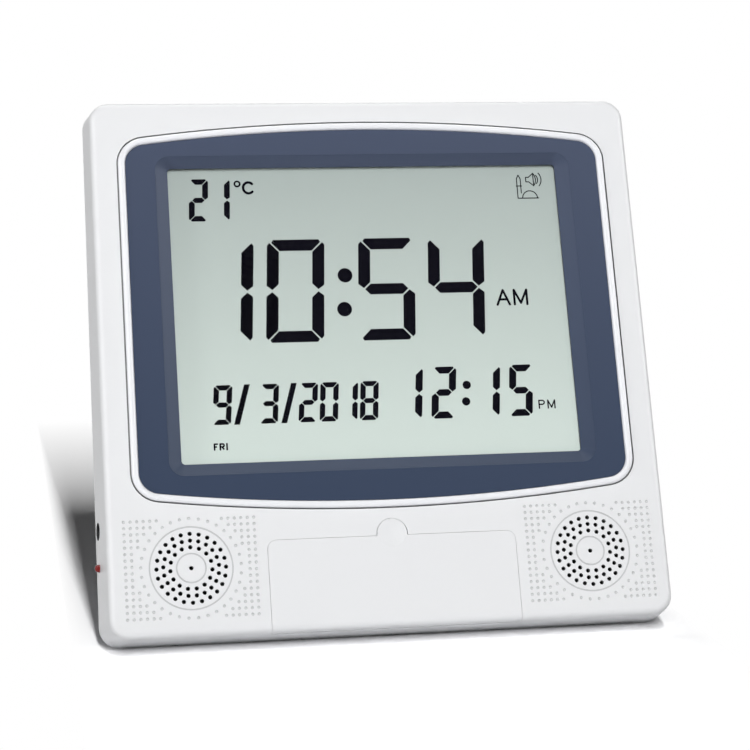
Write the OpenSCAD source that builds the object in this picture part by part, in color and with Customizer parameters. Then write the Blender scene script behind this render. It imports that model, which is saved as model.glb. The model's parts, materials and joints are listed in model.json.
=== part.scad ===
// Digital calendar alarm clock: a leaning desk clock with two speakers and a large display.
// Everything is drawn upright first: X to the right, Y from the face to the back and Z up
// the face, with the foot of the face at Z = 0. The last module leans it back on its feet.
// All sizes are millimetres.

/* [Casing] */
// Width of the casing, at the foot of its rounded front edge
body_w = 225; // [221:1:236]
// Height of the casing, along the face
body_h = 219.5; // [218:0.5:232]
// Depth of the front shell along its bottom edge
depth_low = 24; // [23:0.5:26]
// Depth of the front shell along its top edge
depth_high = 16.5; // [15.5:0.5:18]
// Depth of the whole casing, from the face to the flat back
depth_all = 36; // [36:0.5:40]
// Angle by which the clock leans back on its stand
lean = 22; // [20:1:24]
// Wall of the casing mouldings
wall = 2.2; // [2:0.1:2.4]
// Rounding of the front edge
edge_r = 3; // [2.8:0.1:3.2]
// Rounding of the four corners of the face
corner_r = 8; // [7:0.5:10]
// Angle by which the sides widen towards the back
flare = 8; // [6:0.5:9]
// How far the flat of the back stands in from the rim, at the sides and the top
back_inset = 15; // [13:1:17]

/* [Display surround] */
// Distance from the side of the casing to the blue fascia
fascia_side = 13.9; // [13.3:0.1:14.7]
// Distance from the top of the casing to the crown of the fascia
fascia_top = 12.75; // [12.4:0.05:13.6]
// Space between the flap's finger tab and the fascia
fascia_low = 7.85; // [7.4:0.05:8.6]
// Radius of the arched top and bottom edges
arch_r = 725; // [650:5:900]
// Corner rounding of the fascia
fascia_r = 8.5; // [7:0.5:10]
// Width of the white trim ring round the fascia
ring_w = 3.1; // [2.6:0.1:3.6]
// How far the trim ring stands proud of the face
ring_out = 1.2; // [0.8:0.1:1.4]
// Shadow groove round the trim ring
groove = 0.4; // [0.3:0.05:0.6]
// Width of the fascia's border beside the window
border_w = 17.2; // [16.6:0.1:18]
// Height of the fascia's border over and under the window, on average
border_h = 16.3; // [15.8:0.1:17]
// Depth of the window below the face
window_y = 3.8; // [3.4:0.1:4]
// Width of the bevel beside and under the window
bevel = 5; // [4:0.2:6]
// Width of the bevel over the window
bevel_top = 3.8; // [3.4:0.1:4.2]

/* [Speakers] */
// Distance from the side of the casing to a speaker's centre
speaker_side = 32.5; // [31.5:0.5:33.5]
// Distance from the fascia down to a speaker's centre
speaker_down = 24.05; // [23.6:0.05:24.6]
// Diameter of a speaker frame
speaker_d = 40; // [38:0.5:41]
// Depth of a speaker, rim to magnet
speaker_t = 16; // [14:0.5:18]
// Diameter of a sound hole
hole_d = 1.7; // [1.4:0.1:1.9]
// Spacing of the dimples round the sound holes
dimple_pitch = 2.54; // [2.4:0.02:2.6]
// Width of a dimple
dimple_d = 1.36; // [1:0.02:1.5]
// Depth of a dimple
dimple_t = 0.32; // [0.2:0.02:0.4]

/* [Flap and keys] */
// Space between a speaker's frame and the hinged flap
flap_side = 10.4; // [10:0.2:12]
// Height of the flap
flap_h = 36; // [35:0.2:37]
// Thickness of the flap
flap_t = 2; // [1.8:0.1:2.2]
// Radius of the round finger tab on the flap
tab_r = 6; // [5:0.5:7]
// Gap round the flap
flap_gap = 0.3; // [0.25:0.05:0.4]
// Width of a key
key_w = 14; // [10:0.5:16]
// Height of a key
key_h = 7; // [5:0.5:8]
// Travel of a key
key_travel = 0.6; // [0.4:0.1:0.7]

/* [Power] */
// Height of the power socket above the foot of the face
jack_z = 45.5; // [44.5:0.1:46]
// Diameter of the power plug's hole in the side wall
jack_d = 7; // [6.6:0.1:7.2]
// Height of the power lamp above the foot of the face
lamp_z = 30.8; // [30:0.1:32]
// Diameter of the power lamp
lamp_d = 3; // [2.8:0.1:3.2]
// Diameter of a battery cell
cell_d = 14.2; // [13.8:0.1:14.5]
// Length of a battery cell, over its button
cell_l = 50.2; // [49:0.1:50.5]
// Number of battery cells
cells = 3; // [2:1:3]

/* [Stand and feet] */
// Distance from the top of the casing down to the stand's hinge
stand_down = 97.5; // [96.5:0.5:98.5]
// Width of the stand leg
stand_w = 66; // [56:1:70]
// Thickness of the stand leg
stand_t = 4; // [3.6:0.1:4.2]
// Angle of the open leg behind the vertical
stand_rake = 11; // [10:0.5:12]
// Distance from a rubber foot to the front and back edges of the strip it stands on
foot_edge = 1; // [0.8:0.1:1.5]
// How far a rubber foot stands out
foot_out = 0.8; // [0.6:0.1:1.2]

/* [Fits and fasteners] */
// Radial running clearance of a hinge pin in its bore
pin_play = 0.06; // [0.04:0.01:0.09]
// Side clearance between loose pieces
play = 0.3; // [0.25:0.05:0.4]
// Radius of a hinge pin
pin_r = 1.4; // [1.2:0.1:1.5]
// Diameter of a casing screw
screw_d = 3; // [2.8:0.1:3.2]

/* [Hidden] */
$fn = 48;
arc_fn = 720;
far = 400;

// Places that follow from the sizes above
half_w = body_w / 2;
tilt = atan((depth_low - depth_high) / body_h);
widen = tan(flare);
half_low = half_w + widen * (depth_low - edge_r);
fas_a = half_w - fascia_side;
tab_z = flap_h + 0.8;
fas_top = body_h - fascia_top;
fas_low = tab_z + tab_r + fascia_low;
top_c = fas_top - arch_r;
low_c = fas_low + arch_r;
cor_x = fas_a - fascia_r;
cor_reach = sqrt(pow(arch_r - fascia_r, 2) - pow(cor_x, 2));
cor_top = top_c + cor_reach;
cor_low = low_c - cor_reach;
arch_phi = asin(cor_x / (arch_r - fascia_r));
win_x = fas_a - border_w;
win_z = (fas_top - fas_low) / 2 - border_h;
window_up = 1.4;
display_z = (fas_top + fas_low) / 2 + window_up;
speaker_x = half_w - speaker_side;
speaker_z = fas_low - speaker_down;
rim_y = 1.8;
ledge_y = 5;
ledge_in = 3.9;
lip_y = window_y + 0.7;
tub_t = 1.2;
rim = groove + wall;

// Layers behind the window, each seated on the one in front
glass_t = 1.1;
reflector_t = 0.25;
seg_t = 0.08;
glass_over = 3.6;
contact_h = 4;
glass_y = lip_y + 0.05;
seg_y = glass_y + glass_t;
rear_glass_y = seg_y + seg_t;
reflector_y = rear_glass_y + glass_t;
frame_in_y = reflector_y + reflector_t;
flange_y = ledge_y + 3.6;
board_t = 1.6;
board_y = flange_y + 3.8;
board_back = board_y + board_t;
frame_x = win_x + 15;
frame_z = win_z + 10.5;
board_x = win_x - 3.4;
glass_low = display_z - win_z - glass_over;
board_top = display_z + win_z - 4;
board_low = glass_low - 1;

// Flap, hinge and key pocket
hinge_y = edge_r;
hinge_z = edge_r;
flap_w = 2 * (speaker_x - speaker_d / 2 - flap_side);
flap_seat = flap_t + play;
pocket_y = 9;
floor_t = 1.8;
floor_back = pocket_y + floor_t;
pocket_x = flap_w / 2 - 2;
pocket_low = 2 * hinge_z + 1.4;
pocket_top = flap_h - 2;
key_front = 5.4;
flange_t = 0.9;
key_flange = floor_back + 0.1;
switch_y = key_flange + flange_t + key_travel + 0.3;
switch_t = 3.2;
switch_d = 6.2;
stem_r = 1.6;
stem_end = 1.4;
key_board_y = switch_y + switch_t;
key_step_x = flap_w / 2 - 17.6;
key_step_z = 12;
key_mid_z = (pocket_low + pocket_top) / 2;
key_board_x = key_step_x + 18.5;
key_post_x = key_board_x - 3.5;
key_post_z = 12;
hinge_ear = 4.6;
flap_pin_r = 1.2;
flap_pin_l = 3;

// Back of the casing
flat_x = half_w - back_inset + 1;
flat_top = body_h - back_inset - 9;
foot_y = (depth_low + depth_all) / 2;
sole_y = depth_low - 0.6;
sole_rise = tan(lean);
foot_d = depth_all - depth_low - 2 * foot_edge;
foot_z = (foot_y - sole_y) * sole_rise - foot_out / cos(lean);
foot_at = [for (k = [-1:1]) k * (half_w - 27)];
foot_in = 1;

// Battery bay in the back
cell_step = cell_d + 1;
bay_x = cell_l / 2 + 3;
bay_h = cells * cell_step + 0.6;
door_t = 1.8;
bay_floor = depth_all - door_t - 0.2 - cell_d - 0.3;
stand_z = body_h - stand_down;
bay_low = stand_z + 16;
keyhole_x = flat_x - 26;
bay_mid = bay_low + bay_h / 2;
door_x = bay_x + 2.4;
door_hinge_r = 1.6;
door_hinge_y = depth_all - door_hinge_r;
door_hinge_z = bay_low - 1.2;
door_top = bay_low + bay_h + 2.4;
door_pin_r = 1;
door_pin_l = 2;

// Stand leg, hinged in a recess in the back
leg_floor = depth_all - 7.8;
leg_hinge_r = 3.3;
leg_hinge_y = leg_floor + leg_hinge_r + 0.4;
leg_open = lean + stand_rake;
axis_up = cos(lean) * (stand_z - foot_z - (leg_hinge_y - foot_y) * sole_rise);
leg_l = axis_up / cos(stand_rake);
leg_low = stand_z - leg_l - 2;
leg_x = stand_w / 2;
boot_l = 12;
boot_t = 1.4;
leg_side = boot_t + 0.6;
leg_top = 5;
leg_pin_l = 4;
leg_heel = (leg_hinge_y - leg_floor - 0.05 - stand_t / 2 * cos(leg_open)) / sin(leg_open);

// Screws and where they go
small_r = 1.1;
small_head_r = 2.8;
small_head_t = 1.3;
seat_angles = [90, 210, 330];
seat_r = speaker_d / 2 + 2.3;
rim_t = 1.2;
seat_y = ledge_y + 0.05 - rim_t;
key_at = [for (z = [key_mid_z + key_step_z / 2, key_mid_z - key_step_z / 2], i = [-1:1]) [i * key_step_x, z]];
frame_screw_at = [for (sx = [-1, 1], k = [-1:1]) [sx * (frame_x - 3), display_z + k * (frame_z - 16)]];
board_screw_at = [for (sx = [-1, 1], k = [-1:1]) [sx * (board_x - 3), display_z + k * (win_z - 13)]];

// Side wall parts
jack_y = depth_low - 6.6;
side_y = jack_y - 6.2;
side_x = half_w + widen * (jack_y - edge_r);
screw_r = screw_d / 2;
boss_r = 3.6;
side_screw_x = -half_w + 8.5;
side_screw_z = [lamp_z - 5.6, jack_z + 7.8];
boss_low = [speaker_x + seat_r * cos(30) + 4.7, speaker_z - seat_r / 2 - 5.45];
boss_at = [for (sx = [-1, 1], p = [boss_low, [half_w - 5.6, body_h / 2 + 2], [half_w - 8, body_h - 10]])
    [sx * p[0], p[1]]];

// General helpers: a flat plate between two depths, and a round post along Y
module slab(y0, y1) {
    translate([0, y1, 0]) rotate([90, 0, 0]) linear_extrude(y1 - y0) children();
}
module post(x, z, y0, y1, r) {
    translate([x, y1, z]) rotate([90, 0, 0]) cylinder(h = y1 - y0, r = r);
}
module box(x0, x1, y0, y1, z0, z1) {
    translate([x0, y0, z0]) cube([x1 - x0, y1 - y0, z1 - z0]);
}
module rounded(x, z0, z1, r) {
    translate([-x + r, z0]) square([2 * (x - r), z1 - z0]);
    translate([-x, z0 + r]) square([2 * x, z1 - z0 - 2 * r]);
    for (sx = [-1, 1], z = [z0 + r, z1 - r]) translate([sx * (x - r), z]) circle(r);
}
// Lean the upright clock back, so that its feet stand at the origin
module leaned() {
    rotate([-lean, 0, 0]) translate([0, -foot_y, -foot_z]) children();
}
// The same move undone, for what is cut square to the floor
module floor_frame() {
    translate([0, foot_y, foot_z]) rotate([lean, 0, 0]) children();
}
// Everything behind the plane where the front shell meets the rear cover
module behind_joint(gap = 0) {
    translate([0, depth_low + gap, 0]) rotate([tilt, 0, 0]) box(-far, far, 0, far, -far, far);
}
// Everything below the slanting sole under the back
module below_sole(up = 0) {
    translate([0, sole_y, 0]) rotate([lean, 0, 0]) box(-far, far, -20, far, -far, up);
}

// Outline with two arched edges: the fascia's, grown by o
module arch_outline(o) {
    strip = cor_x + (fascia_r + o) * sin(arch_phi);
    intersection() {
        translate([0, top_c]) circle(arch_r + o, $fn = arc_fn);
        translate([0, low_c]) circle(arch_r + o, $fn = arc_fn);
        translate([-strip, 0]) square([2 * strip, far]);
    }
    translate([-fas_a - o, cor_low]) square([2 * (fas_a + o), cor_top - cor_low]);
    for (sx = [-1, 1], z = [cor_low, cor_top]) translate([sx * cor_x, z]) circle(fascia_r + o, $fn = 96);
}

module key_outline(grow) {
    rounded(key_w / 2 + grow, -key_h / 2 - grow, key_h / 2 + grow, 1.5 + grow);
}

// Front shell
module shell_outer() {
    hull() {
        for (sx = [-1, 1], z = [corner_r, body_h - corner_r])
            translate([sx * (half_w - corner_r), edge_r, z]) rotate([90, 0, 0])
                rotate_extrude($fn = 48) translate([corner_r - edge_r, 0]) circle(edge_r, $fn = 32);
        for (sx = [-1, 1], z = [corner_r, body_h - corner_r])
            post(sx * (half_low - corner_r), z + (z > corner_r ? widen * (depth_low - edge_r) : 0),
                depth_low, depth_low + 0.5, corner_r);
    }
}
module shell_inner() {
    hull() {
        for (sx = [-1, 1], z = [corner_r, body_h - corner_r])
            post(sx * (half_w - corner_r), z, wall, edge_r + 0.5, corner_r - wall);
        for (sx = [-1, 1], z = [corner_r, body_h - corner_r])
            post(sx * (half_low - corner_r), z + (z > corner_r ? widen * (depth_low - edge_r) : 0),
                depth_low, depth_low + 1, corner_r - wall);
    }
}
module flap_outline(grow) {
    translate([-flap_w / 2 - grow, 0]) square([flap_w + 2 * grow, flap_h - 3.5]);
    rounded(flap_w / 2 + grow, 0, flap_h + grow, 3.5 + grow);
    translate([0, tab_z]) circle(tab_r + grow);
}
// Sound holes: three rings round a centre hole
ring_r = [8.2, 10.85, 13.5];
ring_n = [15, 21, 24];
rim_groove_r = 16.2;
hub_groove_r = 5.7;
dimple_ring_r = 19.5;
dimple_ring_n = 33;
dimple_cols = 10;
dimple_rows = 7.5;
dimple_free = 22;
module sound_holes(x) {
    post(x, speaker_z, -1, wall + 1, hole_d / 2, $fn = 24);
    for (k = [0:2], i = [0:ring_n[k] - 1]) {
        a = 90 + 360 * i / ring_n[k];
        post(x + ring_r[k] * cos(a), speaker_z + ring_r[k] * sin(a), -1, wall + 1, hole_d / 2, $fn = 24);
    }
    for (r = [rim_groove_r, hub_groove_r])
        slab(-1, 0.25) translate([x, speaker_z]) difference() {
            circle(r + 0.3, $fn = 96);
            circle(r - 0.3, $fn = 96);
        }
}
module dimple(x, z) {
    ball_r = (pow(dimple_d / 2, 2) + pow(dimple_t, 2)) / (2 * dimple_t);
    translate([x, dimple_t - ball_r, z]) sphere(ball_r, $fn = 24);
}
module dimples(x) {
    for (i = [0:dimple_ring_n - 1]) {
        a = 90 + 360 * i / dimple_ring_n;
        dimple(x + dimple_ring_r * cos(a), speaker_z + dimple_ring_r * sin(a));
    }
    for (i = [-dimple_cols:dimple_cols], j = [-dimple_rows:dimple_rows])
        if (norm([i, j]) * dimple_pitch > dimple_free)
            dimple(x + i * dimple_pitch, speaker_z + j * dimple_pitch);
}
module front_shell() {
    color("white") difference() {
        intersection() {
            shell_outer();
            union() {
                difference() {
                    box(-far, far, -1, far, -1, far);
                    shell_inner();
                }
                slab(0, ledge_y) arch_outline(ring_w + rim);
                // Walls round the key pocket, behind the flap and round its hinge pins
                box(-pocket_x - wall, pocket_x + wall, 0, floor_back, 0, pocket_top + wall);
                slab(0, flap_seat + wall) flap_outline(2.5);
                box(-flap_w / 2 - hinge_ear, flap_w / 2 + hinge_ear, 0, pocket_y, 0, pocket_low);
                for (sx = [-1, 1]) speaker_seat(sx * speaker_x);
                for (p = boss_at) post(p[0], p[1], 1, depth_low, boss_r);
                for (sx = [-1, 1], z = [key_post_z, 2 * key_mid_z - key_post_z])
                    post(sx * key_post_x, z, floor_back - 1, key_board_y, 2.6);
                for (z = side_screw_z) post(side_screw_x, z, 1, side_y, 2.6);
            }
        }
        behind_joint();
        for (p = boss_at) post(p[0], p[1], wall + 2, far, screw_r + 0.05);
        slab(-1, rim_y) arch_outline(ring_w + groove);
        slab(-1, ledge_y + 1) rounded(win_x + bevel + ledge_in, display_z - win_z - bevel - ledge_in,
            display_z + win_z + bevel_top + ledge_in, 8);
        for (sx = [-1, 1]) {
            sound_holes(sx * speaker_x);
            dimples(sx * speaker_x);
            for (a = seat_angles) post(sx * speaker_x + seat_r * cos(a),
                speaker_z + seat_r * sin(a), wall, seat_y + 9, small_r + 0.05);
        }
        // Flap opening, hinge bores and the pocket with its key holes
        slab(-1, flap_seat) intersection() {
            flap_outline(flap_gap);
            translate([-far, hinge_z]) square([2 * far, far]);
        }
        translate([-flap_w / 2 - flap_gap, hinge_y, hinge_z]) rotate([0, 90, 0])
            cylinder(h = flap_w + 2 * flap_gap, r = edge_r + play);
        box(-flap_w / 2 - flap_gap, flap_w / 2 + flap_gap, -1, hinge_y, -1, hinge_z);
        box(-flap_w / 2 - flap_gap, flap_w / 2 + flap_gap, -1, hinge_y + 2, -1, 0.8);
        for (sx = [-1, 1]) translate([sx * flap_w / 2, hinge_y, hinge_z]) rotate([0, sx * 90, 0])
            cylinder(h = flap_pin_l + 0.6, r = flap_pin_r + pin_play);
        box(-pocket_x, pocket_x, flap_seat - 1, pocket_y, pocket_low, pocket_top);
        for (p = key_at) slab(pocket_y - 1, floor_back + 1) translate(p) key_outline(play);
        for (z = side_screw_z) post(side_screw_x, z, side_y - 6, side_y + 1, small_r + 0.05);
        for (sx = [-1, 1], z = [key_post_z, 2 * key_mid_z - key_post_z])
            post(sx * key_post_x, z, floor_back + 1, key_board_y + 1, small_r + 0.05);
        for (p = frame_screw_at) post(p[0], p[1], rim_y + 0.4, ledge_y + 1, small_r + 0.05);
        // Holes in the left side for the power plug and the lamp
        translate([-side_x - 5, jack_y, jack_z]) rotate([0, 90, 0]) cylinder(h = 10, r = jack_d / 2);
        translate([-side_x - 5, jack_y, lamp_z]) rotate([0, 90, 0]) cylinder(h = 10, r = lamp_d / 2 + 0.1);
    }
}
// Seat behind the sound holes: a wall round the speaker and three screw posts
module speaker_seat(x) {
    difference() {
        union() {
            slab(1, seat_y + rim_t) translate([x, speaker_z]) circle(speaker_d / 2 + 1.4, $fn = 96);
            for (a = seat_angles)
                post(x + seat_r * cos(a), speaker_z + seat_r * sin(a), 1, seat_y + rim_t, 2.4);
        }
        slab(0, far) translate([x, speaker_z]) circle(speaker_d / 2 - 1.6, $fn = 96);
        slab(seat_y, far) translate([x, speaker_z]) circle(speaker_d / 2 + 0.2, $fn = 96);
    }
}

// Trim ring: a flat-sided section with a round crown, carried along the arched outline
function arc(x, z, r, a0, a1, n) = [for (i = [0:n - 1]) let (a = a0 + (a1 - a0) * i / n)
    [x + r * cos(a), z + r * sin(a)]];
// Points of the outline grown by o, the same number for every o
function outline_points(o) = concat(
    arc(0, top_c, arch_r + o, 90 + arch_phi, 90 - arch_phi, 24),
    arc(cor_x, cor_top, fascia_r + o, 90 - arch_phi, 0, 16),
    arc(cor_x, cor_low, fascia_r + o, 0, arch_phi - 90, 16),
    arc(0, low_c, arch_r + o, 270 + arch_phi, 270 - arch_phi, 24),
    arc(-cor_x, cor_low, fascia_r + o, 270 - arch_phi, 180, 16),
    arc(-cor_x, cor_top, fascia_r + o, 180, 90 + arch_phi, 16));
module trim_ring() {
    crown = ring_w / 2;
    section = concat([[0, rim_y], [ring_w, rim_y]],
        [for (a = [0:18:180]) [crown + crown * cos(a), crown - ring_out - crown * sin(a)]]);
    n = len(outline_points(0));
    m = len(section);
    points = [for (q = section) for (p = outline_points(q[0])) [p[0], q[1], p[1]]];
    faces = [for (j = [0:m - 1], i = [0:n - 1]) let (k = (i + 1) % n, l = (j + 1) % m)
        each [[j * n + i, l * n + i, l * n + k], [j * n + i, l * n + k, j * n + k]]];
    color("white") polyhedron(points, faces);
}

// Fascia: an arched plate with a bevelled tub that leads down to the window
bevel_r = 6;
window_r = 1.6;
edge_break = 0.3;
face_y = 0.1;
tub_over = 2.1;
module window_plate(y, grow, r) {
    slab(y, y + 0.02) rounded(win_x + grow, display_z - win_z - grow,
        display_z + win_z + grow * bevel_top / bevel, r, $fn = 64);
}
module fascia() {
    color([0.28, 0.31, 0.40]) difference() {
        union() {
            slab(face_y, rim_y) arch_outline(-0.12);
            hull() {
                window_plate(rim_y - 0.3, bevel + 0.6, bevel_r + 0.6);
                window_plate(lip_y - 0.02, tub_over, window_r + 1);
            }
        }
        hull() {
            window_plate(face_y - 0.02, bevel + edge_break, bevel_r + edge_break);
            window_plate(face_y + edge_break, bevel, bevel_r);
        }
        hull() {
            window_plate(face_y + edge_break - 0.01, bevel, bevel_r);
            window_plate(window_y - 0.02, 0, window_r);
        }
        slab(window_y - 0.05, lip_y + 1)
            rounded(win_x, display_z - win_z, display_z + win_z, window_r, $fn = 64);
    }
}

// Display: two glass plates, a reflector behind them and the dark segments
module glass(y0, y1, low, over) {
    box(-win_x - over, win_x + over, y0, y1, low, display_z + win_z + over);
}
module lcd_front_glass() {
    color([0.76, 0.81, 0.78]) glass(glass_y, seg_y, glass_low, glass_over);
}
module lcd_rear_glass() {
    color([0.70, 0.76, 0.73]) glass(rear_glass_y, reflector_y, glass_low + contact_h, glass_over);
}
module lcd_reflector() {
    color("silver") glass(reflector_y, frame_in_y, glass_low + contact_h, glass_over - 1);
}
module centred(x, y0, y1, z) {
    box(-x, x, y0, y1, display_z - z, display_z + z);
}
zebra_x = 70;
zebra_low = 0.6;
zebra_h = 2.8;
module lcd_frame() {
    color([0.86, 0.86, 0.84]) difference() {
        union() {
            centred(frame_x, ledge_y, flange_y, frame_z);
            slab(glass_y, flange_y) rounded(win_x + bevel + ledge_in - play,
                display_z - win_z - bevel - ledge_in + play,
                display_z + win_z + bevel_top + ledge_in - play, 8 - play);
            for (p = board_screw_at) post(p[0], p[1], flange_y - 0.5, board_y, 2.8);
        }
        centred(win_x + glass_over + play, glass_y - 1, frame_in_y, win_z + glass_over + play);
        centred(board_x - 7, frame_in_y - 1, flange_y + 1, win_z - 8);
        box(-zebra_x - play, zebra_x + play, frame_in_y - 1, flange_y + 1,
            glass_low + zebra_low - play, glass_low + zebra_low + zebra_h + play);
        for (p = frame_screw_at) post(p[0], p[1], ledge_y - 1, flange_y + 1, small_r + 0.1);
        for (p = board_screw_at) post(p[0], p[1], frame_in_y + 0.4, board_y + 1, small_r + 0.05);
    }
}
module zebra_strip() {
    color([0.85, 0.55, 0.60]) box(-zebra_x, zebra_x, seg_y, board_y,
        glass_low + zebra_low, glass_low + zebra_low + zebra_h);
}

// Segments: shapes in the plane of the glass, leaned over by k
function leant(p, k) = [for (q = p) [q[0] + k * q[1], q[1]]];
function flipped(p, sx, sz) = [for (q = p) [sx * q[0], sz * q[1]]];
function bar_top(a, b, s) = [[-a + 0.52 * s, b], [a - 0.52 * s, b], [a - 0.37 * s, b - 0.24 * s],
    [a - 1.09 * s, b - s], [-a + 1.09 * s, b - s], [-a + 0.37 * s, b - 0.24 * s]];
function bar_mid(a, s) = [[-a + 0.6 * s, 0], [-a + 1.07 * s, 0.48 * s], [a - 1.07 * s, 0.48 * s],
    [a - 0.6 * s, 0], [a - 1.07 * s, -0.48 * s], [-a + 1.07 * s, -0.48 * s]];
function bar_side(a, b, s) = [[-a, b - 0.5 * s], [-a + 0.2 * s, b - 0.26 * s], [-a + 1.04 * s, b - 1.1 * s],
    [-a + 1.04 * s, 0.62 * s], [-a + 0.5 * s, 0.1 * s], [-a, 0.48 * s]];
// The seven bars in the usual order: top, right up, right low, bottom, left low, left up, middle
function bars(a, b, s) = [bar_top(a, b, s), flipped(bar_side(a, b, s), -1, 1),
    flipped(bar_side(a, b, s), -1, -1), flipped(bar_top(a, b, s), 1, -1),
    flipped(bar_side(a, b, s), 1, -1), bar_side(a, b, s), bar_mid(a, s)];
lit = [[0, 1, 2, 3, 4, 5], [1, 2], [0, 1, 3, 4, 6], [0, 1, 2, 3, 6], [1, 2, 5, 6], [0, 2, 3, 5, 6],
    [0, 2, 3, 4, 5, 6], [0, 1, 2], [0, 1, 2, 3, 4, 5, 6], [0, 1, 2, 3, 5, 6]];
module digit(n, x, z, w, h, s, k) {
    shapes = bars(w / 2, h / 2, s);
    for (i = lit[n]) translate([x, z]) polygon(leant(shapes[i], k));
}
module stroke(p, q, t) {
    d = (q - p) / norm(q - p);
    n = [-d[1], d[0]] * t / 2;
    polygon([p + n, p - n, q - n, q + n]);
}
module path(points, t) {
    for (i = [0:len(points) - 2]) stroke(points[i], points[i + 1], t);
    for (p = points) translate(p) circle(t / 2, $fn = 16);
}
module ring(x, z, r, t, a0 = 0, a1 = 360) {
    steps = 24;
    path([for (i = [0:steps]) let (a = a0 + (a1 - a0) * i / steps) [x + r * cos(a), z + r * sin(a)]], t);
}
// Plain capital letters, h high, drawn with strokes t wide; the C is given by its middle and radii
module letter_c(x, z, rx, rz, t) {
    path([for (a = [45:15:315]) [x + rx * cos(a), z + rz * sin(a)]], t);
}
module letter_a(x, z, h, t) {
    path([[x, z], [x + 0.42 * h, z + h], [x + 0.84 * h, z]], t);
    stroke([x + 0.15 * h, z + 0.36 * h], [x + 0.69 * h, z + 0.36 * h], t);
}
module letter_m(x, z, h, t) {
    path([[x, z], [x, z + h], [x + 0.43 * h, z + 0.1 * h], [x + 0.86 * h, z + h], [x + 0.86 * h, z]], t);
}
module letter_p(x, z, h, t) {
    path([[x, z], [x, z + h], [x + 0.42 * h, z + h]], t);
    ring(x + 0.42 * h, z + 0.75 * h, 0.25 * h, t, -90, 90);
    stroke([x, z + 0.5 * h], [x + 0.42 * h, z + 0.5 * h], t);
}
module letter_f(x, z, h, t) {
    path([[x, z], [x, z + h], [x + 0.5 * h, z + h]], t);
    stroke([x, z + 0.52 * h], [x + 0.42 * h, z + 0.52 * h], t);
}
module letter_r(x, z, h, t) {
    letter_p(x, z, h, t);
    stroke([x + 0.32 * h, z + 0.5 * h], [x + 0.66 * h, z], t);
}
// Loudspeaker sign over a small skyline of one tower and one dome
module alarm_sign(x, z) {
    t = 0.4;
    path([[x + 4, z + 7.2], [x + 4, z + 9.2], [x + 5.2, z + 9.2], [x + 7.2, z + 11], [x + 7.2, z + 5.4],
        [x + 5.2, z + 7.2], [x + 4, z + 7.2]], t);
    ring(x + 3.9, z + 8.2, 4.3, t, -40, 40);
    for (r = [2.9, 4.4]) ring(x + 6.2, z + 8.2, r, t, -40, 40);
    path([[x, z], [x, z + 8.6], [x + 0.8, z + 10.2], [x + 1.6, z + 8.6], [x + 1.6, z + 2.3]], t);
    ring(x + 5.2, z, 3.2, t, 0, 180);
    path([[x, z], [x + 8.9, z]], t);
    stroke([x - 0.5, z + 5.4], [x + 2.1, z + 5.4], t);
}
// The signs are drawn about the middle of a window this wide and high, and scaled to the real one
art_w = 162.8;
art_h = 123.5;
time_z = 9.35;
date_z = -37.55;
alarm_z = -35.15;
corner_z = 48.65;
module time_row() {
    w = 23.7;
    h = 43.5;
    s = 4.75;
    for (p = [[1, -60.7], [0, -31.5], [5, 6.3], [4, 35.5]]) digit(p[0], p[1], time_z, w, h, s, 0.066);
    translate([-10.65, time_z + 6.1]) circle(3.05);
    translate([-11.8, time_z - 8.3]) circle(3.05);
    letter_a(52.3, time_z - 7.9, 6.2, 0.95);
    letter_m(59.6, time_z - 7.9, 6.2, 0.95);
}
module date_row() {
    z = date_z;
    for (p = [[9, -63.85], [3, -45.05], [2, -29.2], [0, -20.7], [1, -12.8], [8, -4.3]])
        digit(p[0], p[1], z, 7.5, 16.2, 2.1, 0.09);
    for (x = [-58.6, -39.6]) polygon([[x - 1, z - 8.2], [x + 1.3, z - 8.2], [x + 6.2, z + 8.2], [x + 3.9, z + 8.2]]);
    letter_f(-67.9, z - 18.2, 2.3, 0.65);
    letter_r(-65.6, z - 18.2, 2.3, 0.65);
    stroke([-62.9, z - 18.5], [-62.9, z - 15.6], 0.65);
}
module alarm_row() {
    z = alarm_z;
    for (p = [[1, 12.8], [2, 26.65], [1, 45.05], [5, 58.9]]) digit(p[0], p[1], z, 10, 21.6, 2.85, 0.095);
    translate([36.4, z + 2.9]) circle(1.72, $fn = 32);
    translate([35.6, z - 4]) circle(1.72, $fn = 32);
    letter_p(66, z - 7.85, 3.3, 0.55);
    letter_m(69.75, z - 7.85, 3.3, 0.55);
}
module corner_row() {
    z = corner_z;
    for (p = [[2, -69.05], [1, -60.1]]) digit(p[0], p[1], z, 7.8, 18.1, 2.3, 0.05);
    ring(-52.85, z + 6.85, 1.1, 0.72);
    letter_c(-48.25, z + 5.1, 2.2, 2.37, 1.05);
    alarm_sign(65.1, z - 1);
}
module lcd_segments() {
    color([0.05, 0.05, 0.08]) slab(seg_y, rear_glass_y) translate([0, display_z])
        scale([2 * win_x / art_w, 2 * win_z / art_h]) {
        time_row();
        date_row();
        alarm_row();
        corner_row();
    }
}

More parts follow.
